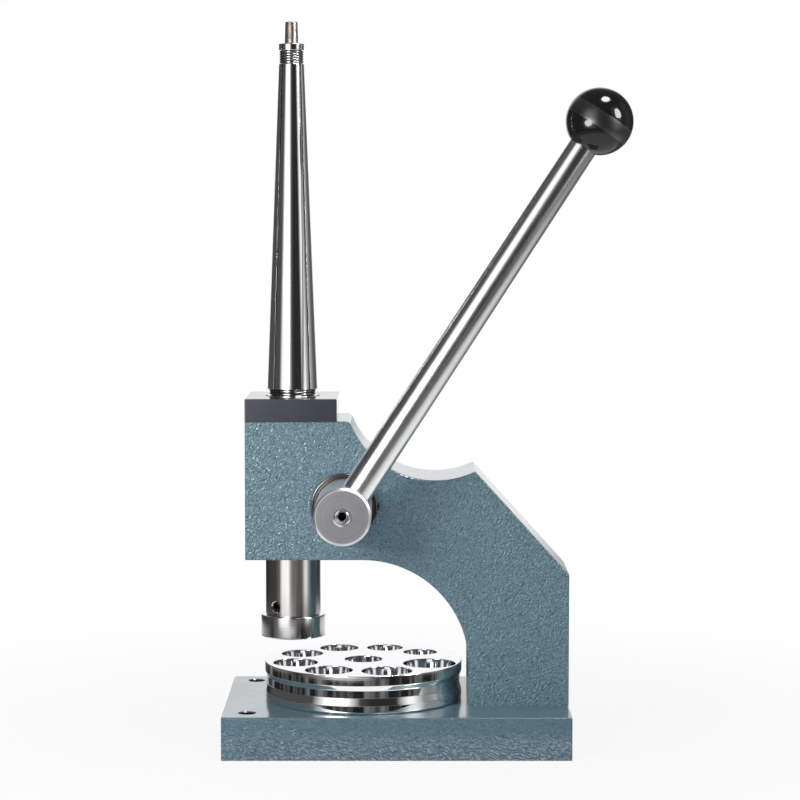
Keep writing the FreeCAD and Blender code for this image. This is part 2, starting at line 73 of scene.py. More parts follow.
def box_size(node):
    """Edge lengths of a CAD node's box."""
    low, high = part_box(node)
    return high - low


RAM_AXIS = box_centre("ram_foot")
ON_RAM_AXIS = Matrix.Translation(Vector((RAM_AXIS.x, RAM_AXIS.y, 0)))
DIE_AXIS = box_centre("reducing_die")
SHAFT_AXIS = box_centre("pinion_shaft")
BALL_RADIUS = box_size("ball_knob").y / 2
BALL_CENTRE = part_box("ball_knob")[1] - Vector((BALL_RADIUS, BALL_RADIUS, BALL_RADIUS))
ROD_PIVOT = Vector((SHAFT_AXIS.x, BALL_CENTRE.y, SHAFT_AXIS.z))
ROD_DIRECTION = (BALL_CENTRE - ROD_PIVOT).normalized()
SEAT_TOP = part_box("mandrel_seat")[1].z
MANDREL_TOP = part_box("mandrel_segment_front")[1].z
MANDREL_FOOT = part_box("mandrel_segment_front")[0].z


def length(name, description, millimetres):
    """A size property in metres, with its default given in millimetres."""
    return FloatProperty(name=name, description=description, default=millimetres * MM,
                         min=0.0, precision=5, unit="LENGTH", subtype="DISTANCE")


def colour(name, description, red, green, blue):
    """A linear colour property."""
    return FloatVectorProperty(name=name, description=description, default=(red, green, blue),
                               min=0.0, max=1.0, size=3, subtype="COLOR")


def amount(name, description, value):
    """A plain number property."""
    return FloatProperty(name=name, description=description, default=value, precision=4)


def angle(name, description, radians):
    """An angle property."""
    return FloatProperty(name=name, description=description, default=radians, subtype="ANGLE")


def count(name, description, number):
    """A whole number property."""
    return IntProperty(name=name, description=description, default=number, min=1)


class RingPressSizes(bpy.types.PropertyGroup):
    """Sizes of the pieces that are modelled here."""
    edge: length("Edge break", "Radius on the turned pieces' edges", 0.35)
    slit: length("Mandrel slit", "Width of the slits between the mandrel's segments", 0.8)
    slit_edge: length("Slit edge", "Edge break along the slits", 0.02)
    mandrel_base: length("Mandrel base", "Mandrel diameter at the seat", 25.2)
    mandrel_tip: length("Mandrel tip", "Mandrel diameter below the upper spring", 12.4)
    mandrel_head: length("Mandrel head", "Diameter of the ring above the upper spring", 12.5)
    head_height: length("Head height", "Height of the ring above the upper spring", 3.2)
    foot_height: length("Segment foot", "Thickness of the segments' flange inside the seat", 3.2)
    foot_over: length("Foot overhang", "How far the flange stands out of the mandrel", 2.1)
    wedge_gap: length("Wedge gap", "Gap between the expander and the segments", 0.15)
    upper_wire: length("Upper wire", "Wire diameter of the upper garter spring", 1.2)
    lower_wire: length("Lower wire", "Wire diameter of the lower garter spring", 1.35)
    turn_gap: length("Turn gap", "Gap between a spring's turns", 0.05)
    spring_gap: length("Spring gap", "Gap between a spring and its groove", 0.3)
    upper_turns: count("Upper turns", "Turns of the upper spring", 5)
    lower_turns: count("Lower turns", "Turns of the lower spring", 2)
    upper_wall: length("Upper wall", "Metal under the upper spring's groove", 0.7)
    lower_wall: length("Lower wall", "Metal under the lower spring's groove", 1.3)
    expander_tip: length("Expander tip", "Diameter of the expander's end", 6.0)
    expander_stud: length("Expander stud", "Diameter of the expander's thread", 9.9)
    hole_pitch: length("Hole pitch radius", "Radius of the ring of die holes", 35.0)
    largest_hole: length("Largest hole", "Diameter of the largest die hole", 26.0)
    smallest_hole: length("Smallest hole", "Diameter of the smallest die hole", 17.0)
    hole_web: length("Hole web", "Metal between two holes along their pitch circle", 4.7)
    die_bore: length("Die bore", "Diameter of the die's pivot bore", 18.7)
    upper_band: length("Upper band", "Height of the die's upper band", 4.9)
    upper_bevel: length("Upper bevel", "Height of the bevel under the upper band", 2.3)
    lower_bevel: length("Lower bevel", "Height of the bevel above the lower band", 3.2)
    lower_band: length("Lower band", "Height of the die's lower band", 4.4)
    die_foot: length("Die foot", "Chamfer round the die's lower edge", 0.8)
    waist: length("Waist depth", "Depth of the groove round the die", 0.9)
    ram_foot_height: length("Foot height", "Height of the ram foot's disc", 10.9)
    foot_spigot: length("Foot spigot", "Diameter of the foot's spigot", 16.0)
    shaft: length("Shaft", "Diameter of the lever shaft in its collar", 27.7)
    # Painted highlight: width of the bright band round the shaft's end
    shaft_rim: length("Shaft rim", "Width of the bright rim round the shaft's end", 1.3)
    # Painted highlight: width of the lighter band round the collar's outer edge
    collar_rub: length("Collar rub", "Width of the rubbed rim round the collar", 0.315)
    rod_root: length("Rod root", "Diameter of the lever rod at the shaft", 14.8)
    rod_end: length("Rod end", "Diameter of the lever rod at the ball", 13.8)
    rod_tail: length("Rod tail", "Rod length past the shaft's axis", 9.0)
    rod_plain: length("Rod plain length", "Straight length before the rod tapers", 24.0)
    knob_stud: length("Knob stud", "Diameter of the rod's threaded end", 7.9)
    stud_length: length("Stud length", "Length of the rod's threaded end", 15.0)
    insert: length("Insert bore", "Bore of the ball for its insert", 13.0)
    insert_length: length("Insert length", "Depth of the ball's bore", 17.0)
    belt: length("Ball belt", "Width of the satin belt round the ball", 7.4)
    belt_offset: length("Belt offset", "Distance of the belt's middle from the ball's centre", 0.4)
    thread_gap: length("Thread gap", "How far a screw's thread stays inside its hole", 0.05)
    screw: length("Column screw", "Thread diameter of the cap screws under the base", 8.0)
    bench_hole: length("Bench hole", "Diameter of the holes for bench bolts", 8.0)
    bench_inset: length("Bench hole inset", "Distance of the bench holes from the base's edges", 12.0)
    hole_taper: amount("Hole taper", "Radius lost per length down a die hole", 0.07)
    expander_taper: amount("Expander taper", "Radius gained per length down the expander", 0.03)
    ball_flat: amount("Ball flat", "Share of the ball's radius from its centre to its flat", 0.89)
    first_hole: angle("First hole", "Place of the largest hole round the die", math.radians(-20.0))
    holes: count("Holes", "Number of die holes", 8)


class RingPressFinishes(bpy.types.PropertyGroup):
    """Colours and gloss of the finishes."""
    enamel: colour("Enamel", "Hammered enamel of the castings", 0.170, 0.300, 0.365)
    enamel_low: colour("Enamel hollows", "Enamel in the hollows of the hammering", 0.056, 0.118, 0.152)
    # Painted highlight: lighter colour for the crests of thick hammering
    enamel_crest: colour("Enamel crests", "Crests of the hammering in thick enamel", 0.27, 0.37, 0.46)
    # Painted glints: leaf-metal flecks, coloured brighter than the metal itself
    fleck: colour("Fleck", "Leaf metal in the enamel", 0.62, 0.78, 0.82)
    chrome: colour("Chrome", "Mirror finish of the mandrel and the die", 0.93, 0.93, 0.94)
    bright_steel: colour("Bright steel", "Polished lever rod and ram foot", 0.88, 0.88, 0.89)
    ram_steel: colour("Ram steel", "Drawn steel of the ram", 0.88, 0.86, 0.84)
    turned: colour("Turned steel", "Turned end of the lever shaft", 0.31, 0.307, 0.325)
    ground: colour("Ground steel", "Ground mandrel seat", 0.053, 0.055, 0.072)
    blackened: colour("Blackened steel", "Screws", 0.050, 0.046, 0.044)
    # Collar colour inside its painted highlight band
    collar: colour("Collar", "Retaining collar inside its rubbed rim", 0.08, 0.072, 0.068)
    bronze: colour("Browned steel", "Expander rod", 0.37, 0.31, 0.28)
    bronze_stain: colour("Brown stain", "Stains on the expander rod", 0.16, 0.11, 0.09)
    wire: colour("Spring wire", "Garter springs", 0.40, 0.40, 0.40)
    brass: colour("Brass", "Threaded insert of the knob", 0.72, 0.50, 0.20)
    phenolic: colour("Phenolic", "Moulded ball knob", 0.006, 0.006, 0.0065)
    phenolic_belt: colour("Phenolic belt", "Satin belt round the ball knob", 0.010, 0.010, 0.0105)


class RingPressStudio(bpy.types.PropertyGroup):
    """Camera, lamps and backdrop."""
    lens: amount("Lens", "Focal length on a 36 mm frame, in millimetres", 119.26)
    eye: FloatVectorProperty(name="Eye", description="Camera place", size=3, unit="LENGTH",
                             default=(0.00159, -1.31163, 0.27304))
    pitch: angle("Pitch", "How far the camera looks down", 0.0786)
    ambient: amount("Ambient", "Level of the even light", 0.38)
    key: amount("Key lamp", "Watts of the lamp at the left", 2.6)
    fill: amount("Fill lamp", "Watts of the lamp at the right", 0.5)
    top: amount("Top lamp", "Watts of the lamp overhead", 2.0)
    overhead_glint: amount("Overhead glint", "Watts of the lamp that the ball reflects from above", 16.0)
    side_glint: amount("Side glint", "Watts of the lamp that the ball reflects from the right", 7.5)
    left_glint: amount("Left glint", "Watts of the lamp that the ball reflects from the left", 2.1)
    floor: colour("Floor", "Pale floor", 0.80, 0.80, 0.80)


def sizes():
    """Sizes of this scene."""
    return bpy.context.scene.ring_press_sizes


def finishes():
    """Finishes of this scene."""
    return bpy.context.scene.ring_press_finishes


def studio():
    """Studio of this scene."""
    return bpy.context.scene.ring_press_studio


# How far a full bump raises metal, resin and hammered enamel, and how far the hammering wanders
METAL_RELIEF = 0.1 * MM
RESIN_RELIEF = 0.2 * MM
ENAMEL_RELIEF = 0.5 * MM
ENAMEL_WANDER = 4 * MM


# Nodes

def add(tree, kind, inputs=None, **settings):
    """Add a node, change its settings, and set or link its inputs by name or number."""
    made = tree.nodes.new(kind)
    for name, value in settings.items():
        setattr(made, name, value)
    for key, value in (inputs or {}).items():
        if isinstance(value, bpy.types.NodeSocket):
            tree.links.new(value, made.inputs[key])
        else:
            made.inputs[key].default_value = value
    return made


def maths(tree, operation, first, second=0.0):
    """One arithmetic step."""
    return add(tree, "ShaderNodeMath", {0: first, 1: second}, operation=operation).outputs[0]


def reach_of(tree, along, across):
    """Distance from two coordinates."""
    squares = [maths(tree, "MULTIPLY", side, side) for side in (along, across)]
    return maths(tree, "SQRT", maths(tree, "ADD", *squares))


def mapped(tree, value, from_low, from_high, to_low, to_high):
    """Remap a value between two ranges, clamped."""
    ranges = {"Value": value, "From Min": from_low, "From Max": from_high,
              "To Min": to_low, "To Max": to_high}
    return add(tree, "ShaderNodeMapRange", ranges, clamp=True).outputs["Result"]


def blended(tree, share, first, second):
    """Blend two values by a share."""
    values = {"Factor": share, "A": first, "B": second}
    return add(tree, "ShaderNodeMix", values, data_type="FLOAT").outputs[0]


def mixed(tree, share, first, second):
    """Blend two colours by a share."""
    node = add(tree, "ShaderNodeMix", {"Factor": share}, data_type="RGBA")
    for name, value in (("A", first), ("B", second)):
        socket = [item for item in node.inputs if item.name == name and item.type == "RGBA"][0]
        if isinstance(value, bpy.types.NodeSocket):
            tree.links.new(value, socket)
        else:
            socket.default_value = (*value, 1.0)
    return [item for item in node.outputs if item.type == "RGBA"][0]


def noise(tree, place, scale, detail=3.0, roughness=0.5, distortion=0.0):
    """Noise from 0 to 1."""
    inputs = {"Vector": place, "Scale": scale, "Detail": detail,
              "Roughness": roughness, "Distortion": distortion}
    return add(tree, "ShaderNodeTexNoise", inputs).outputs["Fac"]


def line_noise(tree, along, scale, detail):
    """Noise from 0 to 1 along one coordinate."""
    inputs = {"W": along, "Scale": scale, "Detail": detail}
    return add(tree, "ShaderNodeTexNoise", inputs, noise_dimensions="1D").outputs["Fac"]


def apart(tree, vector):
    """The three coordinates of a vector."""
    return add(tree, "ShaderNodeSeparateXYZ", {0: vector}).outputs


def only(tree, kind):
    """The one node of a kind."""
    return [item for item in tree.nodes if item.type == kind][0]


def new_group(name, inputs, outputs):
    """An empty shader group with named sockets, given as (name, kind, default)."""
    tree = bpy.data.node_groups.new(name, "ShaderNodeTree")
    for socket, kind, default in inputs:
        made = tree.interface.new_socket(socket, in_out="INPUT", socket_type=kind)
        if default is not None:
            made.default_value = default
    for socket in outputs:
        tree.interface.new_socket(socket, in_out="OUTPUT", socket_type="NodeSocketFloat")
    return tree, add(tree, "NodeGroupInput").outputs, add(tree, "NodeGroupOutput")


def use_group(tree, maker, inputs):
    """Place a shared group in a material, making it the first time."""
    group = bpy.data.node_groups.get(maker.__name__) or maker(maker.__name__)
    return add(tree, "ShaderNodeGroup", inputs, node_tree=group).outputs


def surface_film(name):
    """Cloudy gloss: a roughness between two values, as handling and oil leave it."""
    tree, given, result = new_group(name, [
        ("Vector", "NodeSocketVector", None), ("Scale", "NodeSocketFloat", 40.0),
        ("Low", "NodeSocketFloat", 0.05), ("High", "NodeSocketFloat", 0.1)], ["Roughness"])
    cloud = noise(tree, given["Vector"], given["Scale"], detail=5.0, roughness=0.6)
    film = mapped(tree, cloud, 0.3, 0.7, given["Low"], given["High"])
    tree.links.new(film, result.inputs["Roughness"])
    return tree


def put_marks(tree, result, lines):
    """End a group of fine lines in their height and their shade."""
    tree.links.new(lines, result.inputs["Height"])
    tree.links.new(mapped(tree, lines, 0.35, 0.65, 0.0, 1.0), result.inputs["Streak"])
    return tree


def turning_marks(name):
    """Rings that a lathe leaves about the Z axis of the piece's own coordinates."""
    tree, given, result = new_group(name, [
        ("Vector", "NodeSocketVector", None), ("Rings", "NodeSocketFloat", 900.0)], ["Height", "Streak"])
    parts = apart(tree, given["Vector"])
    run = maths(tree, "ADD", reach_of(tree, parts["X"], parts["Y"]), parts["Z"])
    return put_marks(tree, result, line_noise(tree, run, given["Rings"], 2.0))


def drawn_grain(name):
    """Fine lines along the Z axis of the piece's own coordinates, as drawing or grinding leaves them."""
    tree, given, result = new_group(name, [
        ("Vector", "NodeSocketVector", None), ("Scale", "NodeSocketFloat", 900.0),
        ("Stretch", "NodeSocketFloat", 0.02)], ["Height", "Streak"])
    squeeze = add(tree, "ShaderNodeCombineXYZ", {"X": 1.0, "Y": 1.0, "Z": given["Stretch"]}).outputs[0]
    drawn = add(tree, "ShaderNodeVectorMath", {0: given["Vector"], 1: squeeze}, operation="MULTIPLY")
    return put_marks(tree, result, noise(tree, drawn.outputs[0], given["Scale"], detail=2.0))


def hammered_enamel(name):
    """Pebbled relief of hammered enamel, its mottled depth, and a mask of the leaf-metal flecks in it,
    which the paint shows as painted glints.
    """
    tree, given, result = new_group(name, [
        ("Vector", "NodeSocketVector", None), ("Scale", "NodeSocketFloat", 700.0),
        ("Slant", "NodeSocketVector", None), ("Stretch", "NodeSocketVector", None),
        ("Flecks", "NodeSocketFloat", 0.1)], ["Height", "Depth", "Fleck"])
    swirl = add(tree, "ShaderNodeTexNoise", {"Vector": given["Vector"], "Scale": 240.0, "Detail": 1.0})
    drift = {0: swirl.outputs["Color"], 1: 3 * (ENAMEL_WANDER,), 2: given["Vector"]}
    place = add(tree, "ShaderNodeVectorMath", drift, operation="MULTIPLY_ADD").outputs[0]
    turned = {"Vector": place, "Rotation": given["Slant"], "Scale": given["Stretch"]}
    slant = add(tree, "ShaderNodeMapping", turned, vector_type="TEXTURE").outputs[0]
    pebble = {"Vector": slant, "Scale": given["Scale"], "Smoothness": 0.5}
    hollow = add(tree, "ShaderNodeTexVoronoi", pebble, feature="SMOOTH_F1").outputs["Distance"]
    peel = maths(tree, "MULTIPLY", noise(tree, given["Vector"], 1600.0, detail=2.0), 0.35)
    relief = maths(tree, "SUBTRACT", peel, maths(tree, "MULTIPLY", hollow, 0.8))
    tree.links.new(maths(tree, "ADD", relief, 0.6), result.inputs["Height"])
    mottle = noise(tree, slant, maths(tree, "MULTIPLY", given["Scale"], 1.2), detail=3.0, roughness=0.6)
    tree.links.new(mapped(tree, mottle, 0.34, 0.66, 0.0, 1.0), result.inputs["Depth"])
    cells = add(tree, "ShaderNodeTexVoronoi", {"Vector": slant, "Scale": 1300.0}).outputs
    chance = add(tree, "ShaderNodeSeparateColor", {"Color": cells["Color"]}).outputs
    chosen = maths(tree, "LESS_THAN", chance["Red"], given["Flecks"])
    spot = mapped(tree, cells["Distance"], 0.12, 0.42, 1.0, 0.0)
    bright = mapped(tree, maths(tree, "POWER", chance["Green"], 1.5), 0.0, 1.0, 0.15, 1.0)
    shown = maths(tree, "MULTIPLY", chosen, bright)
    tree.links.new(maths(tree, "MULTIPLY", shown, spot), result.inputs["Fleck"])
    return tree


def new_material(name):
    """A material with a Principled shader, and the object coordinates that its patterns read."""
    material = bpy.data.materials.new(name)
    material.use_nodes = True
    tree = material.node_tree
    place = add(tree, "ShaderNodeTexCoord").outputs["Object"]
    return material, tree, only(tree, "BSDF_PRINCIPLED").inputs, place


def own_axis(tree, place, origin, direction):
    """Coordinates about a piece's own axis, which becomes Z."""
    turn = UP.rotation_difference(direction).to_euler()
    inputs = {"Vector": place, "Location": tuple(origin), "Rotation": tuple(turn)}
    return add(tree, "ShaderNodeMapping", inputs, vector_type="TEXTURE").outputs[0]


def set_bump(tree, shader, height, strength, distance):
    """Raise the surface by a height pattern."""
    bump = add(tree, "ShaderNodeBump", {"Strength": strength, "Distance": distance, "Height": height})
    tree.links.new(bump.outputs["Normal"], shader["Normal"])


def film_of(tree, place, scale, low, high):
    """Roughness from the shared film."""
    inputs = {"Vector": place, "Scale": scale, "Low": low, "High": high}
    return use_group(tree, surface_film, inputs)["Roughness"]


def set_film(tree, shader, place, scale, low, high):
    """Vary the roughness with the shared film."""
    tree.links.new(film_of(tree, place, scale, low, high), shader["Roughness"])


# Materials

def inside_bores(tree, spot, x, y, radius):
    """1 inside two upright bores at either side of the middle plane, where painted shade goes."""
    along = maths(tree, "SUBTRACT", spot["X"], x)
    across = maths(tree, "SUBTRACT", maths(tree, "ABSOLUTE", spot["Y"]), y)
    return mapped(tree, reach_of(tree, along, across), radius, 1.05 * radius, 1.0, 0.0)


# How steeply a face looks up where the enamel turns smooth and wet, the even tone of smooth enamel,
# the relief that shows all of its mottle, the relief of thick enamel, and the heights of the crests that
# get a painted highlight
TOP_FACING = (0.3, 0.7)
EVEN_TONE = 0.55
FULL_RELIEF = 1.2
THICK_RELIEF = (1.4, 3.0)
CREST_HIGHLIGHT_HEIGHT = (0.38, 0.60)


def hammertone_paint(name, grain, flecks, glint_fade, relief, relief_fade, shade=0.0, bores=None):
    """Hammered enamel, smooth and wet on top faces, with a painted highlight on its crests where it is
    thick.

    The grain is (scale, slant in degrees, stretch). Flecks of leaf metal, painted bright as glints, thin
    out along X away from the lamp at the left, and relief fades along Z.
    """
    finish = finishes()
    scale, slant, stretch = grain
    material, tree, shader, place = new_material(name)
    facing = apart(tree, add(tree, "ShaderNodeTexCoord").outputs["Normal"])["Z"]
    upright = mapped(tree, facing, *TOP_FACING, 1.0, 0.06)
    spot = apart(tree, place)
    skin = use_group(tree, hammered_enamel, {
        "Vector": place, "Scale": scale, "Slant": (0.0, math.radians(slant), 0.0),
        "Stretch": (stretch, 1.0, 1.0), "Flecks": mapped(tree, spot["X"], *glint_fade, *flecks)})
    depth = maths(tree, "MULTIPLY", upright, mapped(tree, spot["Z"], *relief_fade, *relief))
    contrast = mapped(tree, depth, 0.0, FULL_RELIEF, 0.0, 1.0)
    tone = blended(tree, contrast, EVEN_TONE, skin["Depth"])
    # Painted shade: the body colour is darkened by a share towards the hollows' tone
    full = [high + shade * (low - high) for low, high in zip(finish.enamel_low, finish.enamel)]
    body = mixed(tree, tone, finish.enamel_low, full)
    # Painted highlight: crests of thick enamel are lightened towards their own colour
    thick = mapped(tree, depth, *THICK_RELIEF, 0.0, 1.0)
    crest_highlight = maths(tree, "MULTIPLY", thick, mapped(tree, skin["Height"], *CREST_HIGHLIGHT_HEIGHT, 0.0, 1.0))
    body = mixed(tree, crest_highlight, body, finish.enamel_crest)
    # Painted shade: the bench holes' walls take the knob's near-black colour
    if bores:
        body = mixed(tree, inside_bores(tree, spot, *bores), body, finish.phenolic)
    # Painted glints: leaf-metal flecks lighten the colour on upright faces
    speck_glint = maths(tree, "MULTIPLY", skin["Fleck"], upright)
    tree.links.new(mixed(tree, speck_glint, body, finish.fleck), shader["Base Color"])
    tree.links.new(maths(tree, "MULTIPLY", speck_glint, 0.35), shader["Metallic"])
    set_film(tree, shader, place, 60.0, 0.30, 0.40)
    set_bump(tree, shader, maths(tree, "MULTIPLY", skin["Height"], depth), 1.0, ENAMEL_RELIEF)
    tree.links.new(mapped(tree, facing, *TOP_FACING, 0.15, 1.0), shader["Coat Weight"])
    shader["Coat Roughness"].default_value = 0.07
    shader["Coat IOR"].default_value = 1.7
    return material


def metal(name, tint, axis, film, marks, lines, relief, streak_shade=0.06):
    """Bare metal with a cloudy gloss and the marks of its making about its own axis.

    The film is (scale, low, high), and lines is the scale of the marks.
    """
    material, tree, shader, place = new_material(name)
    pattern = use_group(tree, marks, {"Vector": own_axis(tree, place, *axis), 1: lines})
    darker = [channel * (1 - streak_shade) for channel in tint]
    tree.links.new(mixed(tree, pattern["Streak"], darker, tint), shader["Base Color"])
    set_film(tree, shader, place, *film)
    set_bump(tree, shader, pattern["Height"], relief, METAL_RELIEF)
    shader["Metallic"].default_value = 1.0
    return material


def mirror_chrome(name, *axis):
    """Mirror plating of the mandrel and the die."""
    return metal(name, finishes().chrome, axis, (55.0, 0.03, 0.07), turning_marks, 1500.0, 0.02, 0.03)


def drawn_steel(name, *axis):
    """Drawn and polished lever rod."""
    return metal(name, finishes().bright_steel, axis, (70.0, 0.17, 0.22), drawn_grain, 2600.0, 0.01)


def ram_steel(name, *axis):
    """Ram, drawn and streaked along its length."""
    return metal(name, finishes().ram_steel, axis, (70.0, 0.09, 0.13), drawn_grain, 900.0, 0.015, 0.14)


def foot_steel(name, *axis):
    """Turned and polished foot of the ram."""
    return metal(name, finishes().bright_steel, axis, (70.0, 0.06, 0.09), turning_marks, 1300.0, 0.005)


def turned_steel(name, *axis):
    """Plain turned steel of the bush and the post."""
    return metal(name, finishes().turned, axis, (90.0, 0.36, 0.44), turning_marks, 900.0, 0.05)


def spring_wire(name, *axis):
    """Bright wire of the garter springs."""
    return metal(name, finishes().wire, axis, (300.0, 0.08, 0.16), drawn_grain, 1500.0, 0.02, 0.2)


def brass(name, *axis):
    """Turned brass of the knob's insert."""
    return metal(name, finishes().brass, axis, (120.0, 0.2, 0.3), turning_marks, 1200.0, 0.1)


def oiled_steel(name, *axis):
    """Slate-dark ground steel of the seat with an oily gloss."""
    material = metal(name, finishes().ground, axis, (50.0, 0.30, 0.36), drawn_grain, 1100.0, 0.03)
    shader = only(material.node_tree, "BSDF_PRINCIPLED").inputs
    shader["Metallic"].default_value = 0.5
    shader["Coat Weight"].default_value = 1.0
    shader["Coat Roughness"].default_value = 0.05
    return material


def blackened_steel(name):
    """Oil-blackened steel, rubbed lighter in places."""
    finish = finishes()
    material, tree, shader, place = new_material(name)
    rubbed = mapped(tree, noise(tree, place, 420.0, detail=4.0), 0.5, 0.8, 0.0, 0.25)
    tree.links.new(mixed(tree, rubbed, finish.blackened, finish.turned), shader["Base Color"])
    set_film(tree, shader, place, 250.0, 0.18, 0.30)
    shader["Metallic"].default_value = 0.9
    return material


def rimmed_steel(name, reach, inside, outside, film=(0.2, 0.3), rim_gloss=0.18):
    """Turned steel in two colours split at a distance from the shaft's axis, for a painted highlight on a
    rim or painted shade in a socket.
    """
    material, tree, shader, place = new_material(name)
    own = own_axis(tree, place, SHAFT_AXIS, FRONT)
    parts = apart(tree, own)
    rim = mapped(tree, reach_of(tree, parts["X"], parts["Y"]), 0.98 * reach, 1.02 * reach, 0.0, 1.0)
    marks = use_group(tree, turning_marks, {"Vector": own, "Rings": 900.0})
    face = mixed(tree, marks["Streak"], [0.93 * channel for channel in inside], inside)
    tree.links.new(mixed(tree, rim, face, outside), shader["Base Color"])
    gloss = blended(tree, rim, film_of(tree, place, 250.0, *film), rim_gloss)
    tree.links.new(gloss, shader["Roughness"])
    set_bump(tree, shader, marks["Height"], 0.02, METAL_RELIEF)
    shader["Metallic"].default_value = 1.0
    return material


def browned_steel(name, *axis):
    """Heat-browned steel with stains drawn along the rod."""
    finish = finishes()
    material, tree, shader, place = new_material(name)
    own = own_axis(tree, place, *axis)
    grain = use_group(tree, drawn_grain, {"Vector": own, "Scale": 900.0, "Stretch": 0.25})
    stain = mapped(tree, noise(tree, own, 520.0, detail=4.0, distortion=0.6), 0.5, 0.68, 0.0, 0.75)
    tree.links.new(mixed(tree, stain, finish.bronze, finish.bronze_stain), shader["Base Color"])
    set_film(tree, shader, place, 220.0, 0.28, 0.40)
    set_bump(tree, shader, grain["Height"], 0.1, METAL_RELIEF)
    shader["Metallic"].default_value = 0.9
    return material


def phenolic(name, *axis):
    """Gloss black moulded resin with a faint swirl, satin where its parting line was turned off."""
    finish = finishes()
    material, tree, shader, place = new_material(name)
    swirl = noise(tree, place, 160.0, detail=4.0, distortion=1.2)
    lighter = [channel * 2.2 for channel in finish.phenolic]
    along = apart(tree, own_axis(tree, place, *axis))["Z"]
    off = maths(tree, "ABSOLUTE", maths(tree, "SUBTRACT", along, sizes().belt_offset))
    half = sizes().belt / 2
    belt = mapped(tree, off, 0.97 * half, 1.03 * half, 1.0, 0.0)
    body = mixed(tree, swirl, finish.phenolic, lighter)
    tree.links.new(mixed(tree, belt, body, finish.phenolic_belt), shader["Base Color"])
    gloss = blended(tree, belt, film_of(tree, place, 90.0, 0.07, 0.11), 0.34)
    tree.links.new(gloss, shader["Roughness"])
    set_bump(tree, shader, swirl, 0.02, RESIN_RELIEF)
    tree.links.new(belt, shader["Coat Weight"])
    shader["Coat Roughness"].default_value = 0.28
    shader["Coat IOR"].default_value = 1.65
    shader["Specular IOR Level"].default_value = 0.42
    return material


# Meshes

def eased(outline, radius, steps=3):
    """Round the corners of a closed (radius, height) outline, leaving points on the axis sharp."""
    points = [Vector(point) for point in outline]
    rounded = []
    for index, corner in enumerate(points):
        before = points[index - 1] - corner
        after = points[(index + 1) % len(points)] - corner
        cut = min(radius, 0.45 * before.length, 0.45 * after.length)
        if corner.x < TINY or cut < TINY:
            rounded.append(corner)
            continue
        start = corner + before.normalized() * cut
        end = corner + after.normalized() * cut
        for step in range(steps + 1):
            share = step / steps
            rounded.append(start.lerp(corner, share).lerp(corner.lerp(end, share), share))
    return rounded


def polar(radius, turn, height):
    """The point at a radius, an angle and a height."""
    return Vector((radius * math.cos(turn), radius * math.sin(turn), height))


def circle(radius, height, steps):
    """Points of a level circle."""
    return [polar(radius, TURN * i / steps, height) for i in range(steps)]


def stand_at(origin, direction):
    """Matrix that stands a piece made along +Z at a point, along a direction."""
    return Matrix.Translation(origin) @ UP.rotation_difference(direction).to_matrix().to_4x4()


def bridge(mesh, lower, upper):
    """Quads, or a fan at a pole, between two closed loops of vertices."""
    for i in range(max(len(lower), len(upper))):
        corners = [lower[i % len(lower)], lower[(i + 1) % len(lower)],
                   upper[(i + 1) % len(upper)], upper[i % len(upper)]]
        mesh.faces.new(list(dict.fromkeys(corners)))


def finished(mesh, name, material, place=None, sharp=35.0):
    """Turn a bmesh into a smooth mesh with true normals, standing at its place."""
    if place is not None:
        mesh.transform(place)
    bmesh.ops.recalc_face_normals(mesh, faces=mesh.faces)
    data = bpy.data.meshes.new(name)
    mesh.to_mesh(data)
    mesh.free()
    data.materials.append(material)
    data.shade_smooth()
    data.set_sharp_from_angle(angle=math.radians(sharp))
    return data


def plain(piece):
    """Replace a piece's mesh by what its modifiers make of it."""
    evaluated = piece.evaluated_get(bpy.context.evaluated_depsgraph_get())
    data = bpy.data.meshes.new_from_object(evaluated)
    piece.modifiers.clear()
    piece.data = data
    data.name = piece.name
    return piece


def link(item):
    """Put an object in the scene."""
    bpy.context.scene.collection.objects.link(item)
    return item


def new_piece(name, data, soften=0.0):
    """Link a mesh as a piece, with even normals and its hard edges broken if asked."""
    piece = link(bpy.data.objects.new(name, data))
    if soften:
        bevel = piece.modifiers.new("Edge break", "BEVEL")
        bevel.width = soften
        bevel.segments = 2
        bevel.limit_method = "ANGLE"
        bevel.angle_limit = math.radians(50)
    even = piece.modifiers.new("Even normals", "WEIGHTED_NORMAL")
    even.keep_sharp = True
    return plain(piece)


def settle(piece, body, slot, *nodes):
    """Let a piece stand for CAD nodes and ride on their body."""
    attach(piece, body)
    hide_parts(*nodes)


def lathe(name, outline, place, material, steps=128):
    """Turn a closed (radius, height) outline about its axis."""
    mesh = bmesh.new()
    loops = []
    for radius, height in outline:
        ring = [Vector((0, 0, height))] if radius < TINY else circle(radius, height, steps)
        loops.append([mesh.verts.new(point) for point in ring])
    for lower, upper in zip(loops, loops[1:] + loops[:1]):
        if len(lower) > 1 or len(upper) > 1:
            bridge(mesh, lower, upper)
    return new_piece(name, finished(mesh, name, material, place))


def dress(node, material):
    """Give a CAD node its finish."""
    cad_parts[node].material_slots[0].material = material


# Mandrel

def expander_radius(height):
    """Radius of the expander's cone at a height."""
    size = sizes()
    return size.expander_tip / 2 + size.expander_taper * (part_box("expander_rod")[1].z - height)


def groove_heights():
    """Floor and roof of the lower and the upper spring groove."""
    size = sizes()
    lower = SEAT_TOP + size.spring_gap
    lower_top = lower + size.lower_turns * (size.lower_wire + size.turn_gap) + size.spring_gap
    upper_top = MANDREL_TOP - size.head_height
    upper = upper_top - size.upper_turns * (size.upper_wire + size.turn_gap) - size.spring_gap
    return (lower, lower_top), (upper, upper_top)


def groove_radii():
    """Floor radius of the lower and the upper spring groove."""
    size = sizes()
    (lower, _), (upper, _) = groove_heights()
    return (expander_radius(lower) + size.wedge_gap + size.lower_wall,
            expander_radius(upper) + size.wedge_gap + size.upper_wall)


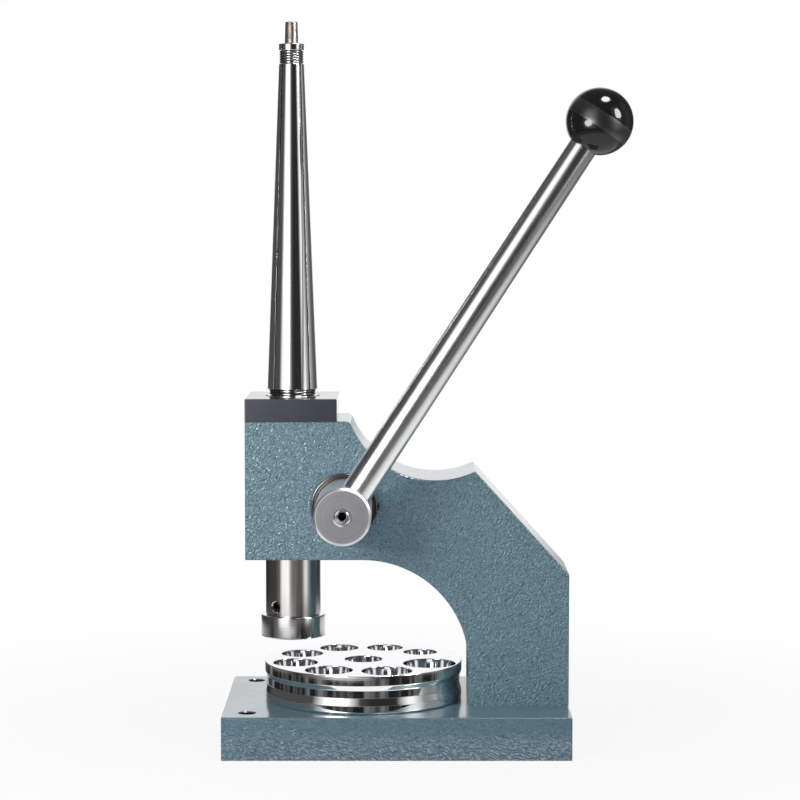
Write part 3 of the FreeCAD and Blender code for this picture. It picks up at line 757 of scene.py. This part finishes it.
def mandrel_outline():
    """Half section of the mandrel as (radius, height) points."""
    size = sizes()
    (lower, lower_top), (upper, upper_top) = groove_heights()
    lower_r, upper_r = groove_radii()
    base_r, tip_r, head_r = size.mandrel_base / 2, size.mandrel_tip / 2, size.mandrel_head / 2
    foot_top = MANDREL_FOOT + size.foot_height
    slope = (tip_r - base_r) / (upper - SEAT_TOP)
    shoulder_r = base_r + slope * (lower_top - SEAT_TOP)
    bore_low = expander_radius(MANDREL_FOOT) + size.wedge_gap
    bore_high = expander_radius(MANDREL_TOP) + size.wedge_gap
    foot_r = base_r + size.foot_over
    corners = [(bore_low, MANDREL_FOOT), (foot_r, MANDREL_FOOT), (foot_r, foot_top), (base_r, foot_top),
               (base_r, lower), (lower_r, lower), (lower_r, lower_top), (shoulder_r, lower_top),
               (tip_r, upper), (upper_r, upper), (upper_r, upper_top), (head_r, upper_top),
               (head_r, MANDREL_TOP), (bore_high, MANDREL_TOP)]
    return eased(corners, size.edge)


def slit_angle(radius, slit):
    """Half the angle that a segment fills at a radius, between two slits on the diagonals."""
    tip = slit / math.sqrt(2)
    across = (tip + math.sqrt(2 * radius * radius - tip * tip)) / 2
    return math.atan2(across - tip, across)


def mandrel_segment(name, quarter, material, steps=40):
    """One quarter of the slit mandrel."""
    slit = sizes().slit
    axis = Vector((RAM_AXIS.x, RAM_AXIS.y, 0))
    mesh = bmesh.new()
    rows = []
    for radius, height in mandrel_outline():
        half = slit_angle(radius, slit)
        row = []
        for i in range(steps + 1):
            turn = quarter * TURN / 4 + half * (2 * i / steps - 1)
            row.append(mesh.verts.new(axis + polar(radius, turn, height)))
        rows.append(row)
    for lower, upper in zip(rows, rows[1:] + rows[:1]):
        for i in range(steps):
            mesh.faces.new((lower[i], lower[i + 1], upper[i + 1], upper[i]))
    mesh.faces.new([row[0] for row in rows])
    mesh.faces.new([row[-1] for row in rows])
    return new_piece(name, finished(mesh, name, material), soften=sizes().slit_edge)


# Springs and screws by nodes

def geometry_tree(name, inputs):
    """An empty geometry node tree with named inputs, given as (name, kind)."""
    tree = bpy.data.node_groups.new(name, "GeometryNodeTree")
    for socket, kind in inputs:
        tree.interface.new_socket(socket, in_out="INPUT", socket_type=kind)
    tree.interface.new_socket("Geometry", in_out="OUTPUT", socket_type="NodeSocketGeometry")
    return tree, add(tree, "NodeGroupInput").outputs


def close_tree(tree, geometry, material):
    """End a tree in plain geometry with its material."""
    realized = add(tree, "GeometryNodeRealizeInstances", {"Geometry": geometry}).outputs[0]
    dressed = add(tree, "GeometryNodeSetMaterial", {"Geometry": realized, "Material": material}).outputs[0]
    add(tree, "NodeGroupOutput", {"Geometry": dressed})
    return tree


def grown(name, tree, values):
    """Make a plain mesh piece from a geometry node tree and its input values."""
    piece = bpy.data.objects.new(name, bpy.data.meshes.new(name))
    modifier = piece.modifiers.new(tree.name, "NODES")
    modifier.node_group = tree
    for item in tree.interface.items_tree:
        if item.in_out == "INPUT":
            modifier[item.identifier] = values[item.name]
    return plain(link(piece))


def stacked_spring_tree(ring_steps=96, wire_steps=16):
    """Close turns of wire stacked up an axis."""
    tree, given = geometry_tree("Stacked spring", [
        ("Ring radius", "NodeSocketFloat"), ("Wire radius", "NodeSocketFloat"),
        ("Pitch", "NodeSocketFloat"), ("Turns", "NodeSocketInt"),
        ("Foot", "NodeSocketVector"), ("Material", "NodeSocketMaterial")])
    path, section = [add(tree, "GeometryNodeCurvePrimitiveCircle", {
        "Resolution": steps, "Radius": given[name]}).outputs[0]
        for steps, name in ((ring_steps, "Ring radius"), (wire_steps, "Wire radius"))]
    turn = add(tree, "GeometryNodeCurveToMesh", {"Curve": path, "Profile Curve": section}).outputs[0]
    smooth = add(tree, "GeometryNodeSetShadeSmooth", {"Geometry": turn}).outputs[0]
    step = add(tree, "ShaderNodeCombineXYZ", {"Z": given["Pitch"]}).outputs[0]
    places = add(tree, "GeometryNodeMeshLine", {
        "Count": given["Turns"], "Start Location": given["Foot"], "Offset": step}, mode="OFFSET").outputs[0]
    stack = add(tree, "GeometryNodeInstanceOnPoints", {"Points": places, "Instance": smooth}).outputs[0]
    return close_tree(tree, stack, given["Material"])


def screw_group_tree():
    """Copies of one screw on the corners of a rectangle."""
    tree, given = geometry_tree("Screw group", [
        ("Screw", "NodeSocketObject"), ("Spread X", "NodeSocketFloat"), ("Spread Y", "NodeSocketFloat"),
        ("Centre", "NodeSocketVector"), ("Material", "NodeSocketMaterial")])
    grid = {"Size X": given["Spread X"], "Size Y": given["Spread Y"], "Vertices X": 2, "Vertices Y": 2}
    corners = add(tree, "GeometryNodeMeshGrid", grid).outputs[0]
    moved = {"Geometry": corners, "Translation": given["Centre"]}
    placed = add(tree, "GeometryNodeTransform", moved).outputs[0]
    model = add(tree, "GeometryNodeObjectInfo", {"Object": given["Screw"]}).outputs["Geometry"]
    copies = add(tree, "GeometryNodeInstanceOnPoints", {"Points": placed, "Instance": model}).outputs[0]
    return close_tree(tree, copies, given["Material"])


def hexagon_ring(across_flats, height, steps):
    """Points of a level hexagon, evenly turned."""
    points = []
    for i in range(steps):
        turn = TURN * i / steps
        within = (turn % (TURN / 6)) - TURN / 12
        points.append(polar(across_flats / 2 / math.cos(within), turn, height))
    return points


def knurled_ring(radius, depth, height, steps):
    """Points of a level circle with a straight knurl."""
    ring = circle(radius, height, steps)
    for i in range(0, steps, 2):
        ring[i] = Vector((ring[i].x * (1 - depth / radius), ring[i].y * (1 - depth / radius), height))
    return ring


def stacked(name, rings, place, material, sharp=30.0):
    """Skin a stack of rings with equal counts, closed at both ends."""
    mesh = bmesh.new()
    loops = [[mesh.verts.new(point) for point in ring] for ring in rings]
    for lower, upper in zip(loops, loops[1:]):
        bridge(mesh, lower, upper)
    mesh.faces.new(loops[0])
    mesh.faces.new(loops[-1])
    return finished(mesh, name, material, place, sharp)


def grub_screw(node, direction, diameter, material, steps=48):
    """Set screw with a chamfered rim and a hexagon socket down to its middle, in place of a CAD node."""
    low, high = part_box(node)
    reach = abs((high - low).dot(direction))
    centre = (low + high) / 2
    radius = diameter / 2 - sizes().thread_gap
    rim = 0.12 * diameter
    bevel = 0.7 * rim
    socket = diameter / 2
    mouth = 1.2 * socket / math.sqrt(3)
    lip = 0.1 * diameter
    half = reach / 2
    rings = [circle(radius - rim, -half, steps), circle(radius, rim - half, steps),
             circle(radius, half - bevel, steps), circle(radius - rim, half, steps),
             circle(mouth, half, steps), hexagon_ring(socket, half - lip, steps),
             hexagon_ring(socket, 0, steps)]
    return stacked(node + "_dressed", rings, stand_at(centre, direction), material)


# Operators

class RingPressOperator:
    """What every step shares."""
    bl_options = {"REGISTER", "UNDO"}


# Name, property with its watts, width, height, place, and the kinds of ray that miss it
LAMPS = (
    ("key_lamp", "key", 0.40, 0.36, (-0.42, -0.55, 0.36), ("glossy",)),
    ("fill_lamp", "fill", 0.60, 0.60, (0.85, -0.70, 0.35), ("glossy",)),
    ("top_lamp", "top", 0.40, 0.40, (0.15, -0.12, 1.05), ("glossy",)),
    ("overhead_glint", "overhead_glint", 0.62, 0.46, (0.43, -0.26, 1.62), ("diffuse",)),
    ("side_glint", "side_glint", 0.34, 0.50, (0.84, -0.42, 0.61), ("diffuse",)),
    ("left_glint", "left_glint", 0.26, 0.19, (-0.28, -0.47, 0.245), ("diffuse",)),
)
LAMP_AIM = Vector((-0.01, 0.0, 0.13))
RING_RADIUS = 1.0
RING_LOW, RING_HIGH = -0.55, 1.7
RING_STEPS = 180

# Light round the reflector ring, as (azimuth in degrees, level), for each height that a piece reflects
MANDREL_PANELS = (
    (-180, 1.0), (-164, 1.0), (-150, 0.07), (-61, 0.07), (-44, 1.2), (-21, 1.2), (-4, 0.06),
    (10, 0.025), (39, 0.025), (54, 1.0), (60, 1.0), (75, 0.26), (84, 0.26), (92, 0.38),
    (101, 0.38), (122, 0.10), (150, 0.10), (165, 1.0), (180, 1.0),
)
RAM_PANELS = (
    (-180, 0.25), (-150, 0.02), (-75, 0.06), (-58, 0.15), (-44, 1.2), (-21, 1.2), (-10, 0.3),
    (-2, 0.18), (30, 0.11), (40, 0.2), (50, 0.9), (58, 0.9), (70, 0.28), (90, 0.06),
    (140, 0.03), (180, 0.25),
)
FOOT_PANELS = (
    (-180, 0.85), (-114, 0.27), (-81, 0.025), (-51, 0.23), (-32, 0.77), (-16, 0.80), (0, 0.46), (13, 0.09),
    (31, 0.014), (60, 0.054), (81, 0.19), (100, 0.40), (130, 0.62), (180, 0.85),
)
GROUND_PANELS = ((-180, 0.3), (-60, 0.3), (0, 0.5), (40, 0.75), (85, 0.75), (130, 0.28), (180, 0.3))
CLUTTER_LEVELS = (0.012, 0.26)
CEILING_LEVEL = 0.12

# Heights where the light on the ring changes, and half the width of each change
CEILING_EDGE = (1.05, 0.15)
MANDREL_EDGE = (0.02, 0.03)
RAM_EDGE = (-0.097, 0.004)
FOOT_EDGE = (-0.128, 0.004)
CLUTTER_EDGE = (-0.30, 0.10)

WHITE = (1, 1, 1, 1)
FLOOR_REACH = 6.0
FLOOR_STEPS = 96
FLOOR_NEAR, FLOOR_FAR = 0.16, 0.42
FLOOR_GLOW = 0.88


class RINGPRESS_OT_stage(RingPressOperator, bpy.types.Operator):
    """Make the camera, lamps, pale floor, reflector ring and world"""
    bl_idname = "ringpress.stage"
    bl_label = "Stage"

    def execute(self, context):
        make_camera(context)
        make_world(context)
        make_floor()
        make_reflectors()
        for lamp in LAMPS:
            make_lamp(*lamp)
        return {"FINISHED"}


def make_camera(context):
    """Camera at the photograph's viewing angle."""
    view = studio()
    data = bpy.data.cameras.new("camera")
    data.lens = view.lens
    data.sensor_width = 36.0
    camera = link(bpy.data.objects.new("camera", data))
    camera.location = view.eye
    camera.rotation_euler = (math.pi / 2 - view.pitch, 0.0, 0.0)
    context.scene.camera = camera
    context.scene.view_settings.view_transform = "Standard"


def make_lamp(name, power, width, height, place, missed_by):
    """Soft oval lamp aimed at the object, or at the ball where only reflections see it."""
    data = bpy.data.lights.new(name, "AREA")
    data.shape = "ELLIPSE"
    data.size = width
    data.size_y = height
    data.energy = getattr(studio(), power)
    lamp = link(bpy.data.objects.new(name, data))
    lamp.location = place
    aim = BALL_CENTRE if "diffuse" in missed_by else LAMP_AIM
    lamp.rotation_euler = (aim - lamp.location).to_track_quat("-Z", "Y").to_euler()
    for kind in missed_by:
        setattr(lamp, "visible_" + kind, False)


def seen_rays(tree):
    """1 for rays that show the backdrop: camera, glossy and transmission."""
    path = add(tree, "ShaderNodeLightPath").outputs
    either = maths(tree, "MAXIMUM", path["Is Camera Ray"], path["Is Glossy Ray"])
    return maths(tree, "MAXIMUM", either, path["Is Transmission Ray"])


def make_world(context):
    """White backdrop to the eye and in reflections, even light elsewhere."""
    world = bpy.data.worlds.new("studio")
    world.use_nodes = True
    tree = world.node_tree
    tree.nodes.clear()
    white, even = [add(tree, "ShaderNodeBackground", {"Color": WHITE, "Strength": level}).outputs[0]
                   for level in (1.0, studio().ambient)]
    both = add(tree, "ShaderNodeMixShader", {0: seen_rays(tree), 1: even, 2: white}).outputs[0]
    add(tree, "ShaderNodeOutputWorld", {"Surface": both})
    context.scene.world = world


def make_floor():
    """Pale floor that keeps the shadow near the object and fades to the white backdrop."""
    material, tree, shader, place = new_material("pale_floor")
    speckle = noise(tree, place, 30.0)
    tone = studio().floor
    tree.links.new(mixed(tree, speckle, [0.98 * channel for channel in tone], tone), shader["Base Color"])
    shader["Roughness"].default_value = 0.7
    shader["Specular IOR Level"].default_value = 0.2
    reach = add(tree, "ShaderNodeVectorMath", {0: place}, operation="LENGTH").outputs["Value"]
    far = mapped(tree, reach, FLOOR_NEAR, FLOOR_FAR, FLOOR_GLOW, 1.0)
    white = add(tree, "ShaderNodeEmission", {"Color": WHITE, "Strength": 1.0}).outputs[0]
    share = maths(tree, "MULTIPLY", far, seen_rays(tree))
    lit = only(tree, "BSDF_PRINCIPLED").outputs[0]
    both = add(tree, "ShaderNodeMixShader", {0: share, 1: lit, 2: white}).outputs[0]
    tree.links.new(both, only(tree, "OUTPUT_MATERIAL").inputs["Surface"])
    mesh = bmesh.new()
    bmesh.ops.create_circle(mesh, cap_ends=True, segments=FLOOR_STEPS, radius=FLOOR_REACH)
    floor = link(bpy.data.objects.new("floor", finished(mesh, "floor", material)))
    floor.visible_glossy = False


def panel_levels(tree, share, stops):
    """Light round the ring from its stops."""
    ramp = add(tree, "ShaderNodeValToRGB", {"Fac": share})
    elements = ramp.color_ramp.elements
    elements.remove(elements[0])
    for index, (azimuth, level) in enumerate(stops):
        place = azimuth / 360 + 0.5
        element = elements.new(place) if index else elements[0]
        element.position = place
        element.color = (level, level, level, 1.0)
    return ramp.outputs["Color"]


def stepped(tree, height, edge, below, above):
    """One level below an edge and another above it, with a soft change."""
    middle, soft = edge
    share = mapped(tree, height, middle - soft, middle + soft, 0.0, 1.0)
    return blended(tree, share, below, above)


def make_reflectors():
    """Ring of soft panels, dark flags and dim clutter under a dark ceiling, which only reflections see."""
    material = bpy.data.materials.new("studio_panels")
    material.use_nodes = True
    tree = material.node_tree
    tree.nodes.clear()
    place = add(tree, "ShaderNodeTexCoord").outputs["Object"]
    parts = apart(tree, place)
    azimuth = maths(tree, "ARCTAN2", parts["X"], maths(tree, "MULTIPLY", parts["Y"], -1.0))
    share = mapped(tree, azimuth, -math.pi, math.pi, 0.0, 1.0)
    clutter = mapped(tree, line_noise(tree, azimuth, 4.0, 3.0), 0.45, 0.75, *CLUTTER_LEVELS)
    mandrel, ram, foot, ground = [panel_levels(tree, share, stops) for stops in (
        MANDREL_PANELS, RAM_PANELS, FOOT_PANELS, GROUND_PANELS)]
    level = CEILING_LEVEL
    for edge, below in ((CEILING_EDGE, mandrel), (MANDREL_EDGE, ram), (RAM_EDGE, foot),
                        (FOOT_EDGE, clutter), (CLUTTER_EDGE, ground)):
        level = stepped(tree, parts["Z"], edge, below, level)
    glow = add(tree, "ShaderNodeEmission", {"Color": WHITE, "Strength": level}).outputs[0]
    add(tree, "ShaderNodeOutputMaterial", {"Surface": glow})
    mesh = bmesh.new()
    lower, upper = [[mesh.verts.new(point) for point in circle(RING_RADIUS, height, RING_STEPS)]
                    for height in (RING_LOW, RING_HIGH)]
    bridge(mesh, lower, upper)
    mesh.faces.new(upper)
    ring = link(bpy.data.objects.new("reflector_ring", finished(mesh, "reflector_ring", material)))
    for kind in ("camera", "diffuse", "shadow", "transmission", "volume_scatter"):
        setattr(ring, "visible_" + kind, False)


# Scale, slant in degrees and stretch of the hammering, and where its flecks, painted as glints, and its
# thick lower half end
FRAME_GRAIN = (1150.0, -50.0, 1.6)
BASE_GRAIN = (1120.0, 20.0, 3.0)
GLINTS_PAST_DIE = 0.015
THICK_FADE = 0.004


class RINGPRESS_OT_castings(RingPressOperator, bpy.types.Operator):
    """Paint the base plate and the column frame"""
    bl_idname = "ringpress.castings"
    bl_label = "Castings"

    def execute(self, context):
        glint_fade = (RAM_AXIS.x, DIE_AXIS.x + GLINTS_PAST_DIE)
        low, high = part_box("base_plate")
        middle = (low.z + high.z) / 2
        dress("column_frame", hammertone_paint(
            "frame_enamel", FRAME_GRAIN, (0.6, 0.0), glint_fade, (1.15, 1.3), (middle, SEAT_TOP)))
        inset = sizes().bench_inset
        # Painted shade: the bench holes' walls are near black
        bores = (low.x + inset, high.y - inset, sizes().bench_hole / 2)
        thick_fade = (middle - THICK_FADE, middle + THICK_FADE)
        # Painted shade: the base's enamel is darker than the frame's by a share of 0.3
        dress("base_plate", hammertone_paint(
            "base_enamel", BASE_GRAIN, (0.0, 0.0), glint_fade, (3.0, 0.8), thick_fade, 0.3, bores))
        return {"FINISHED"}


class RINGPRESS_OT_seat(RingPressOperator, bpy.types.Operator):
    """Finish the mandrel seat, its bush and the die's post"""
    bl_idname = "ringpress.seat"
    bl_label = "Seat and bushes"

    def execute(self, context):
        dress("mandrel_seat", oiled_steel("seat_steel", RAM_AXIS, RIGHT))
        dress("seat_bush", turned_steel("bush_steel", RAM_AXIS, UP))
        dress("die_post", turned_steel("post_steel", DIE_AXIS, UP))
        return {"FINISHED"}


class RINGPRESS_OT_mandrel(RingPressOperator, bpy.types.Operator):
    """Model the four mandrel segments and the expander rod"""
    bl_idname = "ringpress.mandrel"
    bl_label = "Mandrel"

    def execute(self, context):
        chrome = mirror_chrome("mandrel_chrome", RAM_AXIS, UP)
        for quarter, side in enumerate(("right", "back", "left", "front")):
            segment = mandrel_segment("polished_segment_" + side, quarter, chrome)
            settle(segment, "segment_" + side, "mirror_chrome", "mandrel_segment_" + side)
        settle(expander(), "ram", "brown_steel", "expander_rod")
        return {"FINISHED"}


def expander():
    """Tapered rod with a threaded foot and a rounded tip."""
    size = sizes()
    low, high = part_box("expander_rod")
    nut_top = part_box("rod_lock_nut")[1].z
    stud = size.expander_stud / 2
    outline = eased([(0, low.z), (stud, low.z), (stud, nut_top), (expander_radius(nut_top), nut_top),
                     (expander_radius(high.z), high.z), (0, high.z)], size.edge)
    steel = browned_steel("browned_steel", RAM_AXIS, UP)
    return lathe("browned_expander", outline, ON_RAM_AXIS, steel, steps=64)


class RINGPRESS_OT_springs(RingPressOperator, bpy.types.Operator):
    """Stack the turns of the two garter springs"""
    bl_idname = "ringpress.springs"
    bl_label = "Garter springs"

    def execute(self, context):
        size = sizes()
        tree = stacked_spring_tree()
        material = spring_wire("spring_wire", RAM_AXIS, UP)
        wires = (("lower", size.lower_wire, size.lower_turns), ("upper", size.upper_wire, size.upper_turns))
        for (name, wire, turns), (floor, _), radius in zip(wires, groove_heights(), groove_radii()):
            pitch = wire + size.turn_gap
            foot = Vector((RAM_AXIS.x, RAM_AXIS.y, floor + size.spring_gap / 2 + pitch / 2))
            spring = grown("wound_" + name + "_spring", tree, {
                "Ring radius": radius + size.spring_gap + wire / 2, "Wire radius": wire / 2,
                "Pitch": pitch, "Turns": turns, "Foot": foot, "Material": material})
            settle(spring, "stand", "spring_steel", name + "_garter_spring")
        return {"FINISHED"}


class RINGPRESS_OT_ram(RingPressOperator, bpy.types.Operator):
    """Finish the ram and model its foot"""
    bl_idname = "ringpress.ram"
    bl_label = "Ram"

    def execute(self, context):
        dress("ram", ram_steel("ram_steel", RAM_AXIS, UP))
        settle(ram_foot(), "ram", "polished_steel", "ram_foot")
        return {"FINISHED"}


def ram_foot():
    """Pressing disc with its spigot."""
    size = sizes()
    low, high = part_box("ram_foot")
    disc = (high.x - low.x) / 2
    top = low.z + size.ram_foot_height
    spigot = size.foot_spigot / 2
    corners = [(0, low.z), (disc, low.z), (disc, top), (spigot, top), (spigot, high.z), (0, high.z)]
    steel = foot_steel("foot_steel", RAM_AXIS, UP)
    return lathe("turned_foot", eased(corners, 2 * size.edge), ON_RAM_AXIS, steel)


class RINGPRESS_OT_die(RingPressOperator, bpy.types.Operator):
    """Model the reducing die with its graded holes"""
    bl_idname = "ringpress.die"
    bl_label = "Reducing die"

    def execute(self, context):
        settle(reducing_die(), "die", "mirror_chrome", "reducing_die")
        return {"FINISHED"}


def die_holes():
    """Radius and turn of each hole, largest first, with even webs and a wider one after the smallest."""
    size = sizes()
    step = (size.largest_hole - size.smallest_hole) / (size.holes - 1)
    radii = [(size.largest_hole - index * step) / 2 for index in range(size.holes)]
    spans = [math.asin(radius / size.hole_pitch) for radius in radii]
    turn = size.first_hole
    places = [(radii[0], turn)]
    for index in range(1, size.holes):
        turn -= spans[index - 1] + size.hole_web / size.hole_pitch + spans[index]
        places.append((radii[index], turn))
    return places


def wall(mesh, centre, outline, steps):
    """Round wall through (radius, height) points, returning its lowest and highest loop of edges."""
    loops = []
    for radius, height in outline:
        loops.append([mesh.verts.new(centre + point) for point in circle(radius, height, steps)])
    for lower, upper in zip(loops, loops[1:]):
        bridge(mesh, lower, upper)
    ends = []
    for loop in (loops[0], loops[-1]):
        pairs = zip(loop, loop[1:] + loop[:1])
        ends.append([mesh.edges.get(pair) for pair in pairs])
    return ends


def reducing_die(rim_steps=192, hole_steps=96):
    """Banded disc with tapered holes, every rim broken."""
    size = sizes()
    low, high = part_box("reducing_die")
    bottom, top = low.z, high.z
    outer = (high.x - low.x) / 2
    waist = outer - size.waist
    edge = size.edge
    centre = Vector((DIE_AXIS.x, DIE_AXIS.y, 0))
    lower = bottom + size.lower_band
    upper = top - size.upper_band
    foot = size.die_foot
    corners = [(0, bottom), (outer - foot, bottom), (outer, bottom + foot), (outer, lower),
               (waist, lower + size.lower_bevel), (waist, upper - size.upper_bevel),
               (outer, upper), (outer, top), (0, top)]
    mesh = bmesh.new()
    floors, roofs = [], []

    def take(ends):
        floors.extend(ends[0])
        roofs.extend(ends[1])

    take(wall(mesh, centre, eased(corners, edge)[1:-1], rim_steps))
    bore = size.die_bore / 2
    take(wall(mesh, centre, hole_outline(bore, bore, bottom, top, edge), hole_steps))
    for radius, turn in die_holes():
        middle = centre + polar(size.hole_pitch, turn, 0)
        below = radius - size.hole_taper * (top - bottom)
        take(wall(mesh, middle, hole_outline(below, radius, bottom, top, edge), hole_steps))
    bmesh.ops.triangle_fill(mesh, edges=floors, use_beauty=True, normal=-UP)
    bmesh.ops.triangle_fill(mesh, edges=roofs, use_beauty=True, normal=UP)
    chrome = mirror_chrome("die_chrome", DIE_AXIS, UP)
    return new_piece("chromed_die", finished(mesh, "chromed_die", chrome))


def hole_outline(below, above, bottom, top, edge):
    """Wall of a tapered hole with broken rims, without the two outer corners that only aim them."""
    corners = [(below + 2 * edge, bottom), (below, bottom), (above, top), (above + 2 * edge, top)]
    return eased(corners, edge)[4:-4]


class RINGPRESS_OT_lever(RingPressOperator, bpy.types.Operator):
    """Finish the shaft and its collar, and model the lever rod and ball"""
    bl_idname = "ringpress.lever"
    bl_label = "Lever"

    def execute(self, context):
        finish = finishes()
        rim = sizes().shaft / 2 - sizes().shaft_rim
        # Painted highlight: the shaft's end face is bright steel outside the rim
        dress("pinion_shaft", rimmed_steel(
            "shaft_steel", rim, finish.turned, finish.bright_steel, film=(0.42, 0.48), rim_gloss=0.34))
        settle(retaining_collar(), "lever", "black_steel", "retaining_collar")
        dress("knob_insert", brass("insert_brass", BALL_CENTRE, ROD_DIRECTION))
        settle(lever_rod(), "lever", "polished_steel", "lever_rod")
        settle(ball_knob(), "lever", "black_knob", "ball_knob")
        return {"FINISHED"}


def retaining_collar():
    """Ring with broken edges that keeps the shaft in the frame."""
    low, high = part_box("retaining_collar")
    inner = sizes().shaft / 2
    outer = (high.x - low.x) / 2
    width = high.y - low.y
    outline = eased([(inner, 0), (outer, 0), (outer, width), (inner, width)], 2 * sizes().edge)
    place = stand_at(Vector((SHAFT_AXIS.x, high.y, SHAFT_AXIS.z)), FRONT)
    finish = finishes()
    # Painted highlight: the collar's outer band takes the turned steel colour
    steel = rimmed_steel("collar_steel", outer - sizes().collar_rub, finish.collar, finish.turned)
    return lathe("broken_edge_collar", outline, place, steel)


def lever_rod():
    """Tapered round rod with a threaded end inside the ball."""
    size = sizes()
    root, end, stud = size.rod_root / 2, size.rod_end / 2, size.knob_stud / 2
    flat = (BALL_CENTRE - ROD_PIVOT).length - size.ball_flat * BALL_RADIUS
    tip = flat + size.stud_length
    outline = eased([(0, -size.rod_tail), (root, -size.rod_tail), (root, size.rod_plain), (end, flat),
                     (stud, flat), (stud, tip), (0, tip)], size.edge)
    steel = drawn_steel("rod_steel", ROD_PIVOT, ROD_DIRECTION)
    return lathe("drawn_rod", outline, stand_at(ROD_PIVOT, ROD_DIRECTION), steel)


def ball_knob(steps=48):
    """Ball with a flat and a bore for its insert."""
    size = sizes()
    flat = -size.ball_flat * BALL_RADIUS
    first = math.asin(size.ball_flat)
    arc = [(BALL_RADIUS * math.cos(turn), BALL_RADIUS * math.sin(turn))
           for turn in (-first + (math.pi / 2 + first) * i / steps for i in range(steps))]
    bore = size.insert / 2
    deep = flat + size.insert_length
    outline = [(bore, deep), (bore, flat)] + arc + [(0, BALL_RADIUS), (0, deep)]
    resin = phenolic("phenolic", BALL_CENTRE, ROD_DIRECTION)
    return lathe("black_ball", outline, stand_at(BALL_CENTRE, ROD_DIRECTION), resin)


class RINGPRESS_OT_screws(RingPressOperator, bpy.types.Operator):
    """Model the set screws and the cap screws under the base"""
    bl_idname = "ringpress.screws"
    bl_label = "Screws"

    def execute(self, context):
        black = blackened_steel("screw_black")
        for node in ("bush_screw", "seat_screw", "foot_screw", "die_post_screw", "rod_lock_nut"):
            dress(node, black)
        finish = finishes()
        # Painted shade: the lock screw is near black within this distance of the shaft's axis, round its
        # socket
        mouth = box_size("lever_lock_screw").z / 4
        steel = rimmed_steel("screw_steel", mouth, finish.phenolic, finish.bright_steel)
        for node, direction, material, slot in (("lever_lock_screw", FRONT, steel, "turned_steel"),
                                                ("collar_screw", RIGHT, black, "black_steel")):
            across = box_size(node).z + 2 * sizes().thread_gap
            screw = new_piece("socket_" + node, grub_screw(node, direction, across, material))
            settle(screw, "lever", slot, node)
        settle(column_screws(black), "stand", "black_steel", "column_screws")
        return {"FINISHED"}


def column_screws(material, steps=48):
    """Four cap screws with knurled heads, copied to the corners of their rectangle."""
    diameter = sizes().screw
    low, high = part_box("column_screws")
    head, shank, socket = 0.75 * diameter, diameter / 2 - sizes().thread_gap, 0.75 * diameter
    knurl, rim = 0.02 * diameter, 0.06 * diameter
    under = low.z + diameter
    rings = [hexagon_ring(socket, low.z + diameter / 2, steps), hexagon_ring(socket, low.z, steps),
             circle(head - rim, low.z, steps), knurled_ring(head, knurl, low.z + rim, steps),
             knurled_ring(head, knurl, under - rim, steps), circle(head - rim, under, steps),
             circle(shank, under, steps), circle(shank, high.z - rim, steps),
             circle(shank - rim, high.z, steps)]
    model = link(bpy.data.objects.new("cap_screw_model", stacked("cap_screw_model", rings, None, material)))
    centre = (low + high) / 2
    group = grown("cap_screws", screw_group_tree(), {
        "Screw": model, "Spread X": high.x - low.x - 2 * head, "Spread Y": high.y - low.y - 2 * head,
        "Centre": Vector((centre.x, centre.y, 0)), "Material": material})
    bpy.data.objects.remove(model)
    return group


class RINGPRESS_PT_panel(bpy.types.Panel):
    """Steps of the build, in order"""
    bl_idname = "RINGPRESS_PT_panel"
    bl_label = "Ring stretcher"
    bl_space_type = "VIEW_3D"
    bl_region_type = "UI"
    bl_category = "Ring stretcher"

    def draw(self, context):
        for step in STEPS:
            self.layout.operator(step.bl_idname)
        for group in (sizes(), finishes(), studio()):
            box = self.layout.box()
            for name in group.__annotations__:
                box.prop(group, name)


STEPS = (RINGPRESS_OT_stage, RINGPRESS_OT_castings, RINGPRESS_OT_seat, RINGPRESS_OT_mandrel,
         RINGPRESS_OT_springs, RINGPRESS_OT_ram, RINGPRESS_OT_die, RINGPRESS_OT_lever, RINGPRESS_OT_screws)
GROUPS = {"ring_press_sizes": RingPressSizes, "ring_press_finishes": RingPressFinishes,
          "ring_press_studio": RingPressStudio}


def register():
    for item in (*GROUPS.values(), *STEPS, RINGPRESS_PT_panel):
        bpy.utils.register_class(item)
    for name, group in GROUPS.items():
        setattr(bpy.types.Scene, name, PointerProperty(type=group))


def unregister():
    for name in GROUPS:
        delattr(bpy.types.Scene, name)
    for item in (RINGPRESS_PT_panel, *reversed(STEPS), *GROUPS.values()):
        bpy.utils.unregister_class(item)


def main():
    register()
    for step in STEPS:
        area, name = step.bl_idname.split(".")
        getattr(getattr(bpy.ops, area), name)()


if __name__ == "__main__":
    main()
